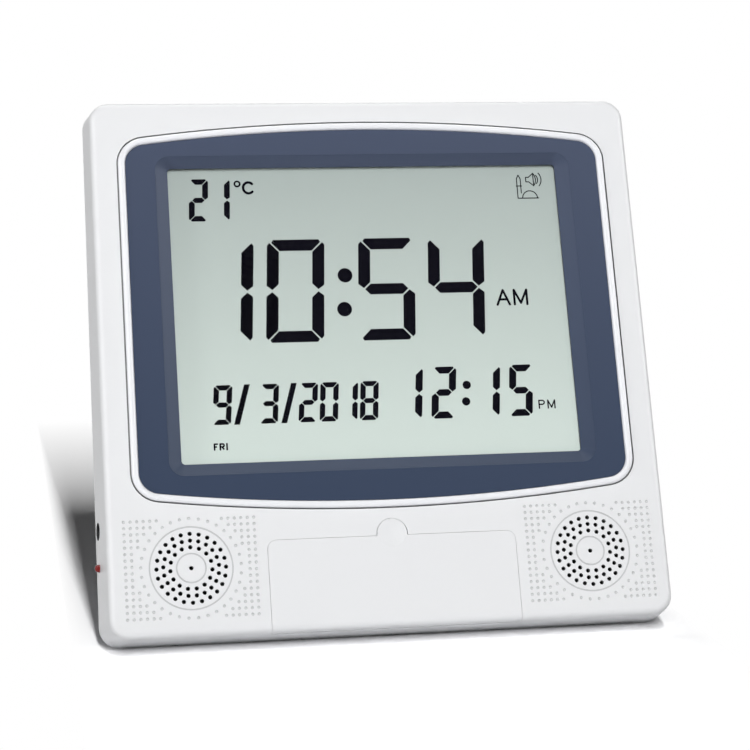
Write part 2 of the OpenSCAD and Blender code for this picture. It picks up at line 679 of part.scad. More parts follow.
// Circuit boards and what is soldered on them
// Places on the main board, from its middle and its foot, move with the board's size
function on_board(x, z) = [x * board_x / 78, board_low + z * (board_top - board_low) / 122.9];
module main_board() {
    color([0.10, 0.36, 0.20]) difference() {
        box(-board_x, board_x, board_y, board_back, board_low, board_top);
        for (p = board_screw_at) post(p[0], p[1], board_y - 1, board_back + 1, small_r + 0.2);
    }
}
module chip(p, w, h, t, legs) {
    pitch = h / legs;
    x = p[0];
    z = p[1];
    box(x - w / 2, x + w / 2, board_back + 0.15, board_back + t, z - h / 2, z + h / 2);
    for (i = [0:legs - 1], sx = [-1, 1])
        box(x + sx * (w / 2 + 0.5) - 0.6, x + sx * (w / 2 + 0.5) + 0.6, board_back, board_back + 0.4,
            z - h / 2 + pitch * (i + 0.5) - 0.2, z - h / 2 + pitch * (i + 0.5) + 0.2);
}
module main_chip() {
    color([0.12, 0.12, 0.13]) chip(on_board(-14, 40), 14, 14, 1.7, 12);
}
module board_chips() {
    color([0.14, 0.14, 0.15]) {
        chip(on_board(30, 32), 6, 10, 1.6, 7);
        chip(on_board(46, 32), 6, 10, 1.6, 7);
        chip(on_board(14, 20), 4.4, 5, 1.5, 4);
    }
}
// Each capacitor's place, radius and height
capacitor_at = [[on_board(-58, 28), 4, 11], [on_board(-46, 28), 3.2, 9], [on_board(-58, 40), 2.6, 8],
    [on_board(60, 44), 3.2, 9]];
module capacitors() {
    color([0.18, 0.20, 0.30]) for (c = capacitor_at) difference() {
        post(c[0][0], c[0][1], board_back, board_back + c[2], c[1]);
        slab(board_back + c[2] - 0.4, board_back + c[2] + 1) translate(c[0]) square([c[1], 0.4], center = true);
        slab(board_back + c[2] - 0.4, board_back + c[2] + 1) translate(c[0]) square([0.4, c[1]], center = true);
    }
}
module stadium(p, w, r) {
    translate(p) square([w, 2 * r], center = true);
    for (sx = [-1, 1]) translate([p[0] + sx * w / 2, p[1]]) circle(r);
}
module crystal() {
    color("silver") {
        slab(board_back + 0.5, board_back + 3.6) stadium(on_board(-18, 58), 6, 1.7);
        slab(board_back, board_back + 0.8) stadium(on_board(-18, 58), 6, 2.1);
    }
}
module thermistor() {
    p = on_board(-68, 8);
    color([0.10, 0.10, 0.10]) {
        for (sx = [-1, 1]) post(p[0] + sx * 0.8, p[1], board_back, board_back + 3.8, 0.25);
        translate([p[0], board_back + 4.4, p[1]]) sphere(1.3, $fn = 32);
    }
}
// Wire sockets on the main board, each a tub with its mouth to the back: for the left speaker,
// the right speaker, the keys, the power board and the battery
socket_at = [on_board(-58, 8), on_board(58, 8), on_board(44, 8), on_board(-46, 8), on_board(-44, 68)];
module wire_sockets() {
    color([0.93, 0.92, 0.86]) for (p = socket_at) difference() {
        box(p[0] - 3.2, p[0] + 3.2, board_back, board_back + 5, p[1] - 2.4, p[1] + 2.4);
        box(p[0] - 2.6, p[0] + 2.6, board_back + 1.2, board_back + 6, p[1] - 1.8, p[1] + 1.8);
    }
}

// Speakers, turned about their own axes
module turned(x) {
    translate([x, seat_y, speaker_z]) rotate([-90, 0, 0]) rotate_extrude($fn = 96) children();
}
basket_h = speaker_t - 6.4;
module speaker_frame(x) {
    r = speaker_d / 2;
    color([0.20, 0.20, 0.21]) difference() {
        turned(x) polygon([[r - 3.4, 0], [r, 0], [r, rim_t], [r - 1.4, rim_t], [r - 8.4, basket_h],
            [3.4, basket_h], [3.4, basket_h - 0.8], [r - 9, basket_h - 0.8], [r - 3.4, rim_t + 0.4]]);
        for (a = [45:90:315]) translate([x, seat_y + 4.6, speaker_z]) rotate([0, a, 0])
            translate([r - 10, 0, 0]) rotate([0, 90, 0]) cylinder(h = 20, r = 2.6);
    }
}
module speaker_cone(x) {
    r = speaker_d / 2;
    color([0.08, 0.08, 0.09]) turned(x) polygon(concat(
        [[r - 1.8, -0.35], [r - 1.8, 0], [r - 3.6, 0]],
        [for (a = [15:15:165]) [r - 5 + 1.4 * cos(a), 1.4 * sin(a)]],
        [[r - 6.4, 0], [3.2, 6.9], [0, 5.2], [0, 4.8], [3.4, 6.3], [r - 6.7, -0.35], [r - 6.1, -0.35]],
        [for (a = [165:-15:15]) [r - 5 + 1.1 * cos(a), 1.1 * sin(a)]], [[r - 3.9, -0.35]]));
}
module speaker_magnet(x) {
    color([0.30, 0.30, 0.31]) turned(x) polygon([[0, 8], [2.6, 8], [2.6, basket_h], [9, basket_h],
        [9, basket_h + 1.2], [10, basket_h + 1.2], [10, speaker_t - 1.2], [9, speaker_t - 1.2],
        [9, speaker_t], [0, speaker_t]]);
}
module speaker_frame_left() {
    speaker_frame(-speaker_x);
}
module speaker_frame_right() {
    speaker_frame(speaker_x);
}
module speaker_cone_left() {
    speaker_cone(-speaker_x);
}
module speaker_cone_right() {
    speaker_cone(speaker_x);
}
module speaker_magnet_left() {
    speaker_magnet(-speaker_x);
}
module speaker_magnet_right() {
    speaker_magnet(speaker_x);
}

// Screws, driven from the back: the head's underside lies at depth y
module screw(x, z, y, l, r, head_r, head_t) {
    difference() {
        union() {
            post(x, z, y - l, y, r);
            post(x, z, y, y + head_t, head_r);
        }
        box(x - head_r * 0.55, x + head_r * 0.55, y + head_t * 0.45, y + head_t + 1, z - 0.3, z + 0.3);
        box(x - 0.3, x + 0.3, y + head_t * 0.45, y + head_t + 1, z - head_r * 0.55, z + head_r * 0.55);
    }
}
module small_screw(x, z, y, l) {
    screw(x, z, y, l, small_r, small_head_r, small_head_t);
}
module speaker_screws() {
    color("silver") for (sx = [-1, 1], a = seat_angles)
        small_screw(sx * speaker_x + seat_r * cos(a), speaker_z + seat_r * sin(a), seat_y + rim_t, 2.2);
}
module frame_screws() {
    color("silver") for (p = frame_screw_at) small_screw(p[0], p[1], flange_y, flange_y - rim_y - 0.6);
}
module board_screws() {
    color("silver") {
        for (p = board_screw_at) small_screw(p[0], p[1], board_back, board_back - frame_in_y - 0.6);
        for (z = side_screw_z) small_screw(side_screw_x, z, side_y + board_t, 5);
    }
}
module key_board_screws() {
    color("silver") for (sx = [-1, 1], z = [key_post_z, 2 * key_mid_z - key_post_z])
        small_screw(sx * key_post_x, z, key_board_y + board_t, 5);
}

// Key board, its switches and the keys
module key_board() {
    color([0.10, 0.36, 0.20]) difference() {
        box(-key_board_x, key_board_x, key_board_y, key_board_y + board_t, key_post_z - 3.5,
            2 * key_mid_z - key_post_z + 3.5);
        for (sx = [-1, 1], z = [key_post_z, 2 * key_mid_z - key_post_z])
            post(sx * key_post_x, z, key_board_y - 1, key_board_y + board_t + 1, small_r + 0.2);
    }
}
module key_switches() {
    color([0.15, 0.15, 0.16]) for (p = key_at) difference() {
        slab(switch_y, key_board_y) translate(p) square(switch_d, center = true);
        post(p[0], p[1], switch_y - 1, key_board_y - 0.3, stem_r + pin_play);
    }
}
module key(n) {
    p = key_at[n - 1];
    color([0.90, 0.90, 0.91]) {
        slab(key_front, key_flange + flange_t) translate(p) key_outline(0);
        slab(key_flange, key_flange + flange_t) translate(p) key_outline(0.9);
        post(p[0], p[1], key_flange + flange_t - 0.2, switch_y + stem_end, stem_r);
    }
}
module key_1() {
    key(1);
}
module key_2() {
    key(2);
}
module key_3() {
    key(3);
}
module key_4() {
    key(4);
}
module key_5() {
    key(5);
}
module key_6() {
    key(6);
}

// Flap: plate, hinge barrel in the rounded bottom edge, pins and a shallow finger dish
dish_r = tab_r - 0.7;
dish_t = 0.7;
module flap_door() {
    ball_r = (pow(dish_r, 2) + pow(dish_t, 2)) / (2 * dish_t);
    color([0.95, 0.95, 0.96]) difference() {
        union() {
            slab(0, flap_t) intersection() {
                flap_outline(0);
                translate([-far, hinge_z]) square([2 * far, far]);
            }
            translate([0, hinge_y, hinge_z]) rotate([0, 90, 0]) {
                cylinder(h = flap_w, r = edge_r, center = true);
                cylinder(h = flap_w + 2 * flap_pin_l, r = flap_pin_r, center = true);
            }
        }
        translate([0, dish_t - ball_r, tab_z]) sphere(ball_r, $fn = 180);
    }
}

// Power socket and lamp on a small board behind the left side
lamp_out = 1.9;
jack_l = 14;
jack_bore_r = 2.8;
plug_l = 10.5;
jack_face = -side_x + wall + 0.6;
nose_face = -side_x + 0.6;
module side_board() {
    color([0.10, 0.36, 0.20]) difference() {
        box(-half_w + wall + 0.2, -speaker_x - speaker_d / 2 + 3, side_y, side_y + board_t, side_screw_z[0] - 3.4,
            side_screw_z[1] + 3.4);
        for (z = side_screw_z) post(side_screw_x, z, side_y - 1, side_y + board_t + 1, small_r + 0.2);
    }
}
module dc_jack() {
    color([0.10, 0.10, 0.11]) difference() {
        union() {
            box(jack_face, jack_face + jack_l, side_y + board_t, jack_y + 4.6, jack_z - 4.5, jack_z + 4.5);
            translate([nose_face, jack_y, jack_z]) rotate([0, 90, 0])
                cylinder(h = jack_face + 1 - nose_face, r = jack_d / 2 - 0.1);
        }
        translate([nose_face - 1, jack_y, jack_z]) rotate([0, 90, 0])
            cylinder(h = jack_face + plug_l - nose_face + 1, r = jack_bore_r);
        translate([jack_face + 1, jack_y, jack_z]) rotate([0, 90, 0]) cylinder(h = jack_l - 2, r = 1.05);
    }
}
module dc_jack_pin() {
    color("silver") translate([jack_face + 1.2, jack_y, jack_z]) rotate([0, 90, 0]) {
        cylinder(h = jack_l - 2.4, r = 1);
        sphere(1);
    }
}
module power_lamp() {
    tip = -side_x - lamp_out;
    color([0.85, 0.10, 0.08]) {
        translate([tip + lamp_d / 2, jack_y, lamp_z]) sphere(lamp_d / 2);
        translate([tip + lamp_d / 2, jack_y, lamp_z]) rotate([0, 90, 0])
            cylinder(h = lamp_out + wall + 1, r = lamp_d / 2);
        translate([-side_x + wall + 0.3, jack_y, lamp_z]) rotate([0, 90, 0]) cylinder(h = 1, r = lamp_d / 2 + 0.4);
        for (sz = [-1, 1]) {
            box(-side_x + wall + 1, -side_x + wall + 3.6, jack_y - 0.25, jack_y + 0.25,
                lamp_z + sz * 0.9 - 0.25, lamp_z + sz * 0.9 + 0.25);
            box(-side_x + wall + 3.1, -side_x + wall + 3.6, side_y + board_t, jack_y + 0.25,
                lamp_z + sz * 0.9 - 0.25, lamp_z + sz * 0.9 + 0.25);
        }
    }
}

// Rear cover
rear_in = 1;
flat_r = 6;
seat_up = 3.2;
head_r = 2.8;
head_t = 1.7;
function joint_y(z) = depth_low - z * tan(tilt);
// The cover's solid outline, or with t its hollow
module rear_solid(t) {
    top_z = body_h + widen * (depth_high - edge_r) - rear_in - corner_r;
    hull() {
        for (sx = [-1, 1]) {
            post(sx * (half_low - rear_in - corner_r), corner_r + rear_in, depth_low - 3,
                depth_low + 0.6 - t / 2, corner_r - t);
            post(sx * (half_low - rear_in - corner_r - widen * (depth_low - depth_high)), top_z,
                depth_high - 3, depth_high + 0.6 - t / 2, corner_r - t);
        }
        for (sx = [-1, 1], z = [3 + flat_r, flat_top - flat_r]) {
            post(sx * (flat_x - flat_r), z, depth_all - 3, depth_all - 1.4 - t, flat_r - t * 0.7);
            post(sx * (flat_x - flat_r), z, depth_all - 3, depth_all - t, flat_r - 1.4 - t * 0.7);
        }
    }
}
module keyhole(x) {
    post(x, stand_z + 56, depth_all - 9, depth_all + 1, 4.2);
    slab(depth_all - 9, depth_all + 1) translate([x, stand_z + 63]) {
        circle(2.2);
        translate([-2.2, -7]) square([4.4, 7]);
    }
}
module rear_cover() {
    color([0.93, 0.93, 0.94]) difference() {
        intersection() {
            rear_solid(0);
            union() {
                difference() {
                    box(-far, far, -1, far, -far, far);
                    difference() {
                        rear_solid(wall);
                        below_sole(wall);
                    }
                }
                for (p = boss_at) post(p[0], p[1], joint_y(p[1]) - 2, depth_all, boss_r + 0.8);
                box(-bay_x - 2, bay_x + 2, bay_floor - 2, depth_all, bay_low - 2, bay_low + bay_h + 2);
                box(-door_x - 2, door_x + 2, door_hinge_y - 4, depth_all, door_hinge_z - 4, door_top + 2);
                box(-leg_x - leg_side - 2, leg_x + leg_side + 2, leg_floor - wall, depth_all,
                    leg_low - 2, stand_z + leg_top + 2);
                for (sx = [-1, 1]) translate([sx * (leg_x + leg_side + 3.4), 0, 0])
                    box(-3.4, 3.4, leg_hinge_y - 3.6, depth_all, stand_z - 3.8, stand_z + 3.8);
                for (x = foot_at) translate([x, 0, 0]) floor_frame()
                    translate([0, 0, foot_out]) cylinder(h = 3.6, r = foot_d / 2 + 1.6);
            }
        }
        translate([0, depth_low + 0.1, 0]) rotate([tilt, 0, 0]) box(-far, far, -far, 0, -far, far);
        below_sole();
        for (x = foot_at) translate([x, 0, 0]) floor_frame()
            cylinder(h = foot_out + foot_in, r = foot_d / 2 + 0.05);
        for (p = boss_at) {
            post(p[0], p[1], 0, far, screw_r + 0.15);
            post(p[0], p[1], joint_y(p[1]) + seat_up, far, head_r + 0.3);
        }
        // Battery bay, the step for its door and the hinge at the door's foot
        box(-bay_x, bay_x, bay_floor, far, bay_low, bay_low + bay_h);
        box(-door_x - play, door_x + play, depth_all - door_t, far, door_hinge_z, door_top + play);
        translate([0, door_hinge_y, door_hinge_z]) rotate([0, 90, 0]) {
            cylinder(h = 2 * (door_x + play), r = door_hinge_r + play, center = true);
            cylinder(h = 2 * (door_x + door_pin_l + 0.5), r = door_pin_r + pin_play, center = true);
        }
        box(-door_x - play, door_x + play, door_hinge_y, far, door_hinge_z - door_hinge_r - play, door_hinge_z);
        post(0, door_top + 1, depth_all - 1.4, far, 7);
        // Recess for the folded leg and the bores for its pins
        box(-leg_x - leg_side, leg_x + leg_side, leg_floor, far, leg_low, stand_z + leg_top);
        translate([0, leg_hinge_y, stand_z]) rotate([0, 90, 0])
            cylinder(h = 2 * (leg_x + leg_pin_l + 0.5), r = pin_r + pin_play, center = true);
        for (sx = [-1, 1]) keyhole(sx * keyhole_x);
    }
}

// Battery door, cells and contacts
module battery_door() {
    color([0.93, 0.93, 0.94]) {
        box(-door_x, door_x, depth_all - door_t + 0.05, depth_all, door_hinge_z, door_top);
        translate([0, door_hinge_y, door_hinge_z]) rotate([0, 90, 0]) {
            cylinder(h = 2 * door_x, r = door_hinge_r, center = true);
            cylinder(h = 2 * (door_x + door_pin_l), r = door_pin_r, center = true);
        }
        for (i = [0:3])
            box(-6 + i, 6 - i, depth_all - 0.2, depth_all + 0.35, door_top - 5 - 2 * i, door_top - 4.2 - 2 * i);
    }
}
button_t = 1;
contact_t = 0.4;
cell_shift = bay_x - contact_t - 0.05 - cell_l / 2;
function cell_z(n) = bay_low + 0.3 + cell_step * (n - 0.5);
cell_y = bay_floor + cell_d / 2;
// Odd cells point to the right and even ones to the left
module cell_turn(n) {
    translate([0, cell_y, cell_z(n)]) mirror([n % 2 == 0 ? 1 : 0, 0, 0]) rotate([0, 90, 0]) children();
}
module cell(n) {
    if (n <= cells) color([0.20, 0.22, 0.26]) cell_turn(n) translate([0, 0, cell_shift - cell_l / 2]) {
        cylinder(h = cell_l - button_t, r = cell_d / 2, $fn = 64);
        cylinder(h = cell_l, r = 2.7);
    }
}
module cell_1() {
    cell(1);
}
module cell_2() {
    cell(2);
}
module cell_3() {
    cell(3);
}
// A coil: a six-sided wire of radius w carried up round the axis
module coil(h, turns, r, w) {
    n = 12 * turns;
    points = [for (i = [0:n], k = [0:5]) let (a = 360 * turns * i / n, u = r + w * cos(60 * k))
        [u * cos(a), u * sin(a), w + (h - 2 * w) * i / n + w * sin(60 * k)]];
    sides = [for (i = [0:n - 1], k = [0:5]) let (p = 6 * i + k, q = 6 * i + (k + 1) % 6)
        each [[p, q + 6, p + 6], [p, q, q + 6]]];
    polyhedron(points, concat(sides, [[for (k = [5:-1:0]) k], [for (k = [0:5]) 6 * n + k]]));
}
module battery_springs() {
    gap = bay_x + cell_shift - cell_l / 2;
    color("silver") for (n = [1:cells]) cell_turn(n) translate([0, 0, -bay_x]) {
        translate([-5, -5.4, 0]) cube([10, 10.8, contact_t]);
        translate([0, 0, contact_t - 0.1]) coil(gap - contact_t, 3, 3.4, 0.35);
    }
}
module battery_plates() {
    color("silver") for (n = [1:cells]) cell_turn(n)
        translate([-5, -5.4, bay_x - contact_t]) cube([10, 10.8, contact_t]);
}

// Stand leg with its pins, drawn open, and the rubber boot on its end
module leg_turn() {
    translate([0, leg_hinge_y, stand_z]) rotate([leg_open, 0, 0]) children();
}
module stand_leg() {
    color([0.93, 0.93, 0.94]) difference() {
        leg_turn() difference() {
            union() {
                box(-leg_x, leg_x, -stand_t / 2, stand_t / 2, -leg_l + 2, leg_heel);
                rotate([0, 90, 0]) cylinder(h = 2 * leg_x, r = leg_hinge_r, center = true);
                rotate([0, 90, 0]) cylinder(h = 2 * (leg_x + leg_pin_l), r = pin_r, center = true);
            }
            // Hollow between the ribs on the front of the leg
            for (i = [-1, 0, 1]) box(i * leg_x * 0.64 - leg_x * 0.29, i * leg_x * 0.64 + leg_x * 0.29,
                -stand_t, -stand_t / 2 + 1.8, -leg_l + boot_l + 6, -10);
        }
    }
}
module stand_foot() {
    color([0.12, 0.12, 0.13]) difference() {
        leg_turn() difference() {
            box(-leg_x - boot_t, leg_x + boot_t, -stand_t / 2 - boot_t, stand_t / 2 + boot_t,
                -leg_l - 2, -leg_l + boot_l);
            box(-leg_x, leg_x, -stand_t / 2, stand_t / 2, -leg_l + 2, -leg_l + boot_l + 1);
        }
        floor_frame() box(-far, far, -far, far, -far, 0);
    }
}
module rubber_feet() {
    color([0.12, 0.12, 0.13]) for (x = foot_at) translate([x, 0, 0]) floor_frame()
        cylinder(h = foot_out + foot_in, r = foot_d / 2);
}
module case_screws() {
    color("silver") for (p = boss_at)
        screw(p[0], p[1], joint_y(p[1]) + seat_up, 12, screw_r, head_r, head_t);
}

// Wires: straight runs with round bends
module wire(points, r) {
    for (i = [0:len(points) - 2]) {
        d = points[i + 1] - points[i];
        translate(points[i]) rotate([0, acos(d[2] / norm(d)), atan2(d[1], d[0])])
            cylinder(h = norm(d), r = r, $fn = 16);
    }
    for (i = [1:len(points) - 2]) translate(points[i]) sphere(r * 1.06, $fn = 16);
}
// From a start straight back out of its piece, over to a socket and straight into it
wire_r = 0.5;
plug_y = board_back + 1.2;
module wire_to(start, y, p, back) {
    wire([start, [start[0], y, start[2]], [p[0], back, p[1]], [p[0], plug_y, p[1]]], wire_r);
}
module speaker_wires() {
    color([0.75, 0.10, 0.10]) for (n = [0, 1], k = [-1, 1])
        wire_to([(2 * n - 1) * speaker_x + k, seat_y + basket_h, speaker_z + 10.8], plug_y + 3,
            socket_at[n] + [k, 0], plug_y + 7);
}
module battery_wires() {
    p = socket_at[4];
    color([0.10, 0.10, 0.12]) for (k = [-1, 1]) {
        z = bay_mid + k * (bay_h / 2 - cell_step / 2);
        wire([[-bay_x - 2, cell_y, z], [p[0] + 2 * k, cell_y, z], [p[0] + 2 * k, plug_y + 7, p[1]],
            [p[0] + 2 * k, plug_y, p[1]]], wire_r);
    }
}
module board_wires() {
    color([0.85, 0.85, 0.80]) for (k = [-1, 1]) {
        wire_to([-half_w + 13.5, side_y + board_t, jack_z - 8.7 + 2 * k], plug_y + 8, socket_at[3] + [k, 0], plug_y + 8);
        wire_to([key_step_x + 8 + k, key_board_y + board_t, 2 * key_mid_z - key_post_z], key_board_y + 4,
            socket_at[2] + [k, 0], plug_y + 7);
    }
}

leaned() front_shell();
leaned() trim_ring();
leaned() fascia();
leaned() lcd_segments();
leaned() lcd_front_glass();
leaned() lcd_rear_glass();
leaned() lcd_reflector();
leaned() lcd_frame();
leaned() zebra_strip();
leaned() main_board();
leaned() main_chip();
leaned() board_chips();
leaned() capacitors();
leaned() crystal();
leaned() thermistor();
leaned() wire_sockets();
leaned() speaker_frame_left();
leaned() speaker_frame_right();
leaned() speaker_cone_left();
leaned() speaker_cone_right();
leaned() speaker_magnet_left();
leaned() speaker_magnet_right();
leaned() speaker_screws();
leaned() key_board();
leaned() key_switches();
leaned() key_1();
leaned() key_2();
leaned() key_3();
leaned() key_4();
leaned() key_5();
leaned() key_6();
leaned() flap_door();
leaned() side_board();
leaned() dc_jack();
leaned() dc_jack_pin();
leaned() power_lamp();
leaned() rear_cover();
leaned() battery_door();
leaned() cell_1();
leaned() cell_2();
leaned() cell_3();
leaned() battery_springs();
leaned() battery_plates();
leaned() stand_leg();
leaned() stand_foot();
leaned() rubber_feet();
leaned() case_screws();
leaned() board_screws();
leaned() frame_screws();
leaned() key_board_screws();
leaned() speaker_wires();
leaned() battery_wires();
leaned() board_wires();
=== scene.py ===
# %% [markdown]
# # A leaning alarm clock, dressed for the camera
# The hard parts of this clock are already modelled: casing, display stack, boards, speakers, keys,
# battery bay and stand. This lesson gives each of them the finish of the real material, adds the few
# surfaces that want to be smoother than the loaded solids, and lights the clock like a catalogue
# picture. Everything is in metres. The clock stands on Z = 0, leans back by 22 degrees and looks
# towards -Y.

# %% Load the clock
import json
import math
import bmesh
import bpy
import numpy as np
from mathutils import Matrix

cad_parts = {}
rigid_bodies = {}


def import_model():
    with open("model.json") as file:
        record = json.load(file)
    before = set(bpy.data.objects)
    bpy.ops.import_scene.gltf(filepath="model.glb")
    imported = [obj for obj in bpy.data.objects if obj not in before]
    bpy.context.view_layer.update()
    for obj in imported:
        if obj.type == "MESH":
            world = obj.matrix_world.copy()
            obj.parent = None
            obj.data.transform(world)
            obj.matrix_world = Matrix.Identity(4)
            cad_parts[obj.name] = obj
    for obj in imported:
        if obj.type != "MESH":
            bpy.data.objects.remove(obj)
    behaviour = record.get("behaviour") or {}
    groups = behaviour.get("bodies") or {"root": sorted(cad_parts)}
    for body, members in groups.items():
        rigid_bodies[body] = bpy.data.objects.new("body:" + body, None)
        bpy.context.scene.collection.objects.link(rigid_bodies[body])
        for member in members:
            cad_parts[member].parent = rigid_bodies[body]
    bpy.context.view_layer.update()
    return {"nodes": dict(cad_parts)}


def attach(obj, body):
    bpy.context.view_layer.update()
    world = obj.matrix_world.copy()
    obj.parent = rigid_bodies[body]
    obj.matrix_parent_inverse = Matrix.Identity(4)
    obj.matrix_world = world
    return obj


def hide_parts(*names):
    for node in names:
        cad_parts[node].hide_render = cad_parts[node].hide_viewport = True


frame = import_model()

# %% [markdown]
# ## From upright sizes to the leaning clock
# The clock is easiest to describe upright: x to the right, y from the face into the casing, z up the
# face. A real designer would also draw it like that and tilt it at the end. One function does the
# tilt, so every size below can be written as it would be read off a drawing, in millimetres.

# %% Upright millimetres to leaning metres
LEAN = math.radians(22.0)
FOOT_Y = 30.0
FOOT_Z = (FOOT_Y - 23.4) * math.tan(LEAN) - 0.8 / math.cos(LEAN)


def leaned(points):
    """Turn upright points about the X axis by the lean, with the foot's middle as the origin."""
    p = np.asarray(points, dtype=float)
    y, z = p[..., 1] - FOOT_Y, p[..., 2] - FOOT_Z
    c, s = math.cos(LEAN), math.sin(LEAN)
    return np.stack([p[..., 0], y * c + z * s, z * c - y * s], axis=-1) / 1000.0


print("top of the face:", leaned([0.0, 0.0, 220.0]).round(4))

# %% [markdown]
# ## Camera
# The picture was taken a little from the left, from about 85 cm away, with a long lens. The place and
# the turn below come from lining up the corners of the display and the rows of sound holes.

# %% Set the camera
cam_data = bpy.data.cameras.new("camera")
cam_data.sensor_fit = "HORIZONTAL"
cam_data.sensor_width = 36.0
cam_data.lens = 102.31
camera = bpy.data.objects.new("camera", cam_data)
camera.location = (-0.1526, -0.82723, 0.21892)
camera.rotation_euler = tuple(math.radians(a) for a in (82.2915, 0.2571, -10.2190))
bpy.context.scene.collection.objects.link(camera)
bpy.context.scene.camera = camera
bpy.context.scene.view_settings.view_transform = "Standard"
print("camera at", tuple(camera.location))

# %% [markdown]
# ## Helpers for materials
# A material is a small graph of nodes. Two helpers keep the graphs readable: one turns the colour
# codes that a paint chart or a screen gives (sRGB) into the linear numbers that light is added up in,
# and one adds a node, sets it and wires it in a single call.


# %% Colour and node helpers
def linear(code):
    """sRGB hex to linear: below 0.04045 a straight line, above it a power of 2.4."""
    v = np.array([int(code[i:i + 2], 16) for i in (1, 3, 5)]) / 255.0
    v = np.where(v <= 0.04045, v / 12.92, ((v + 0.055) / 1.055) ** 2.4)
    return (*[float(c) for c in v], 1.0)


def add(tree, kind, inputs=None, **settings):
    """Add one node. Settings go on the node, and inputs are values or another node's socket."""
    node = tree.nodes.new(kind)
    for name, value in settings.items():
        setattr(node, name, value)
    for name, value in (inputs or {}).items():
        socket = node.inputs[name]
        if isinstance(value, bpy.types.NodeSocket):
            tree.links.new(value, socket)
        else:
            socket.default_value = value
    return node


def new_material(name, inputs):
    """A material with one Principled shader, whose sockets are set from inputs."""
    material = bpy.data.materials.new(name)
    material.use_nodes = True
    tree = material.node_tree
    tree.nodes.clear()
    shader = add(tree, "ShaderNodeBsdfPrincipled", inputs)
    add(tree, "ShaderNodeOutputMaterial", {"Surface": shader.outputs["BSDF"]})
    return material, tree, shader


def dress(node_name, *materials):
    """Give a loaded solid its finish."""
    mesh = frame["nodes"][node_name].data
    mesh.materials.clear()
    for material in materials:
        mesh.materials.append(material)


print("white:", linear("#ffffff"), "mid grey:", linear("#808080"))

# %% [markdown]
# ## Floor
# The picture has a white background and one shadow that runs straight back from the left side, dark at
# the clock's foot and gone half a metre behind it. A photographer lays out a sheet of white paper. It
# could be lit until it is white, but that would wash out the clock as well. So the lamps stay at a
# plain level, and the paper is drawn brighter for the rays that the camera, a reflection or glass
# sends out. Outside the strip of ground that the clock and its shadow cover, it turns into the white
# of the background, quickly to the sides and slowly towards the back.


# %% Floor paper that turns white to the camera and keeps the shadow
FLOOR_HALF = 4.0
SIDE_FADE, BACK_FADE = (0.1185, 0.1265), (0.26, 0.58)


def seen_rays(tree):
    """1 for a ray from the camera, off a shiny surface or through glass, and 0 for scattered light."""
    rays = add(tree, "ShaderNodeLightPath").outputs
    seen = add(tree, "ShaderNodeMath", {0: rays["Is Camera Ray"], 1: rays["Is Glossy Ray"]},
               operation="MAXIMUM").outputs[0]
    return add(tree, "ShaderNodeMath", {0: seen, 1: rays["Is Transmission Ray"]}, operation="MAXIMUM").outputs[0]


corners = np.array([(-1, -1, 0), (1, -1, 0), (1, 1, 0), (-1, 1, 0)]) * FLOOR_HALF
floor_mesh = bpy.data.meshes.new("floor")
floor_mesh.from_pydata(corners.tolist(), [], [(0, 1, 2, 3)])
floor = bpy.data.objects.new("floor", floor_mesh)
bpy.context.scene.collection.objects.link(floor)

floor_paint = bpy.data.materials.new("floor_paper")
floor_paint.use_nodes = True
tree = floor_paint.node_tree
tree.nodes.clear()
plain = add(tree, "ShaderNodeBsdfDiffuse", {"Color": linear("#d4d4d6")})
# One diffuse shader can send back no more than all the light, so two are added up for the eye.
pale = add(tree, "ShaderNodeBsdfDiffuse", {"Color": linear("#ffffff")})
more = add(tree, "ShaderNodeBsdfDiffuse", {"Color": linear("#ededee")})
near = add(tree, "ShaderNodeAddShader", {0: pale.outputs[0], 1: more.outputs[0]})
blank = add(tree, "ShaderNodeEmission", {"Color": linear("#ffffff"), "Strength": 1.0})
place = add(tree, "ShaderNodeSeparateXYZ", {0: add(tree, "ShaderNodeTexCoord").outputs["Object"]}).outputs
beside = add(tree, "ShaderNodeMath", {0: place[0]}, operation="ABSOLUTE").outputs[0]
to_sides = add(tree, "ShaderNodeMapRange", {"Value": beside, "From Min": SIDE_FADE[0], "From Max": SIDE_FADE[1]})
to_back = add(tree, "ShaderNodeMapRange", {"Value": place[1], "From Min": BACK_FADE[0], "From Max": BACK_FADE[1]})
fade = add(tree, "ShaderNodeMath", {0: to_sides.outputs[0], 1: to_back.outputs[0]}, operation="MAXIMUM")
white = add(tree, "ShaderNodeMixShader", {0: fade.outputs[0], 1: near.outputs[0], 2: blank.outputs[0]})
paper = add(tree, "ShaderNodeMixShader", {0: seen_rays(tree), 1: plain.outputs[0], 2: white.outputs[0]})
add(tree, "ShaderNodeOutputMaterial", {"Surface": paper.outputs[0]})
floor_mesh.materials.append(floor_paint)
print("floor paper:", 2 * FLOOR_HALF, "m square, kept plain to", SIDE_FADE[0], "m at the sides")

# %% [markdown]
# ## Sky
# The world is the rest of the studio: white walls that the camera and the reflections see. The same
# white would fill the shadow from all sides if it lit the clock, so scattered light gets only a
# hundredth of it.

# %% White for whatever sees it, and a faint fill for scattered light
world = bpy.data.worlds.new("sky")
bpy.context.scene.world = world
world.use_nodes = True
tree = world.node_tree
tree.nodes.clear()
fill = add(tree, "ShaderNodeBackground", {"Color": linear("#ffffff"), "Strength": 0.012})
blank = add(tree, "ShaderNodeBackground", {"Color": linear("#ffffff"), "Strength": 1.0})
sky = add(tree, "ShaderNodeMixShader", {0: seen_rays(tree), 1: fill.outputs[0], 2: blank.outputs[0]})
add(tree, "ShaderNodeOutputWorld", {"Surface": sky.outputs[0]})
print("sky nodes:", len(tree.nodes))

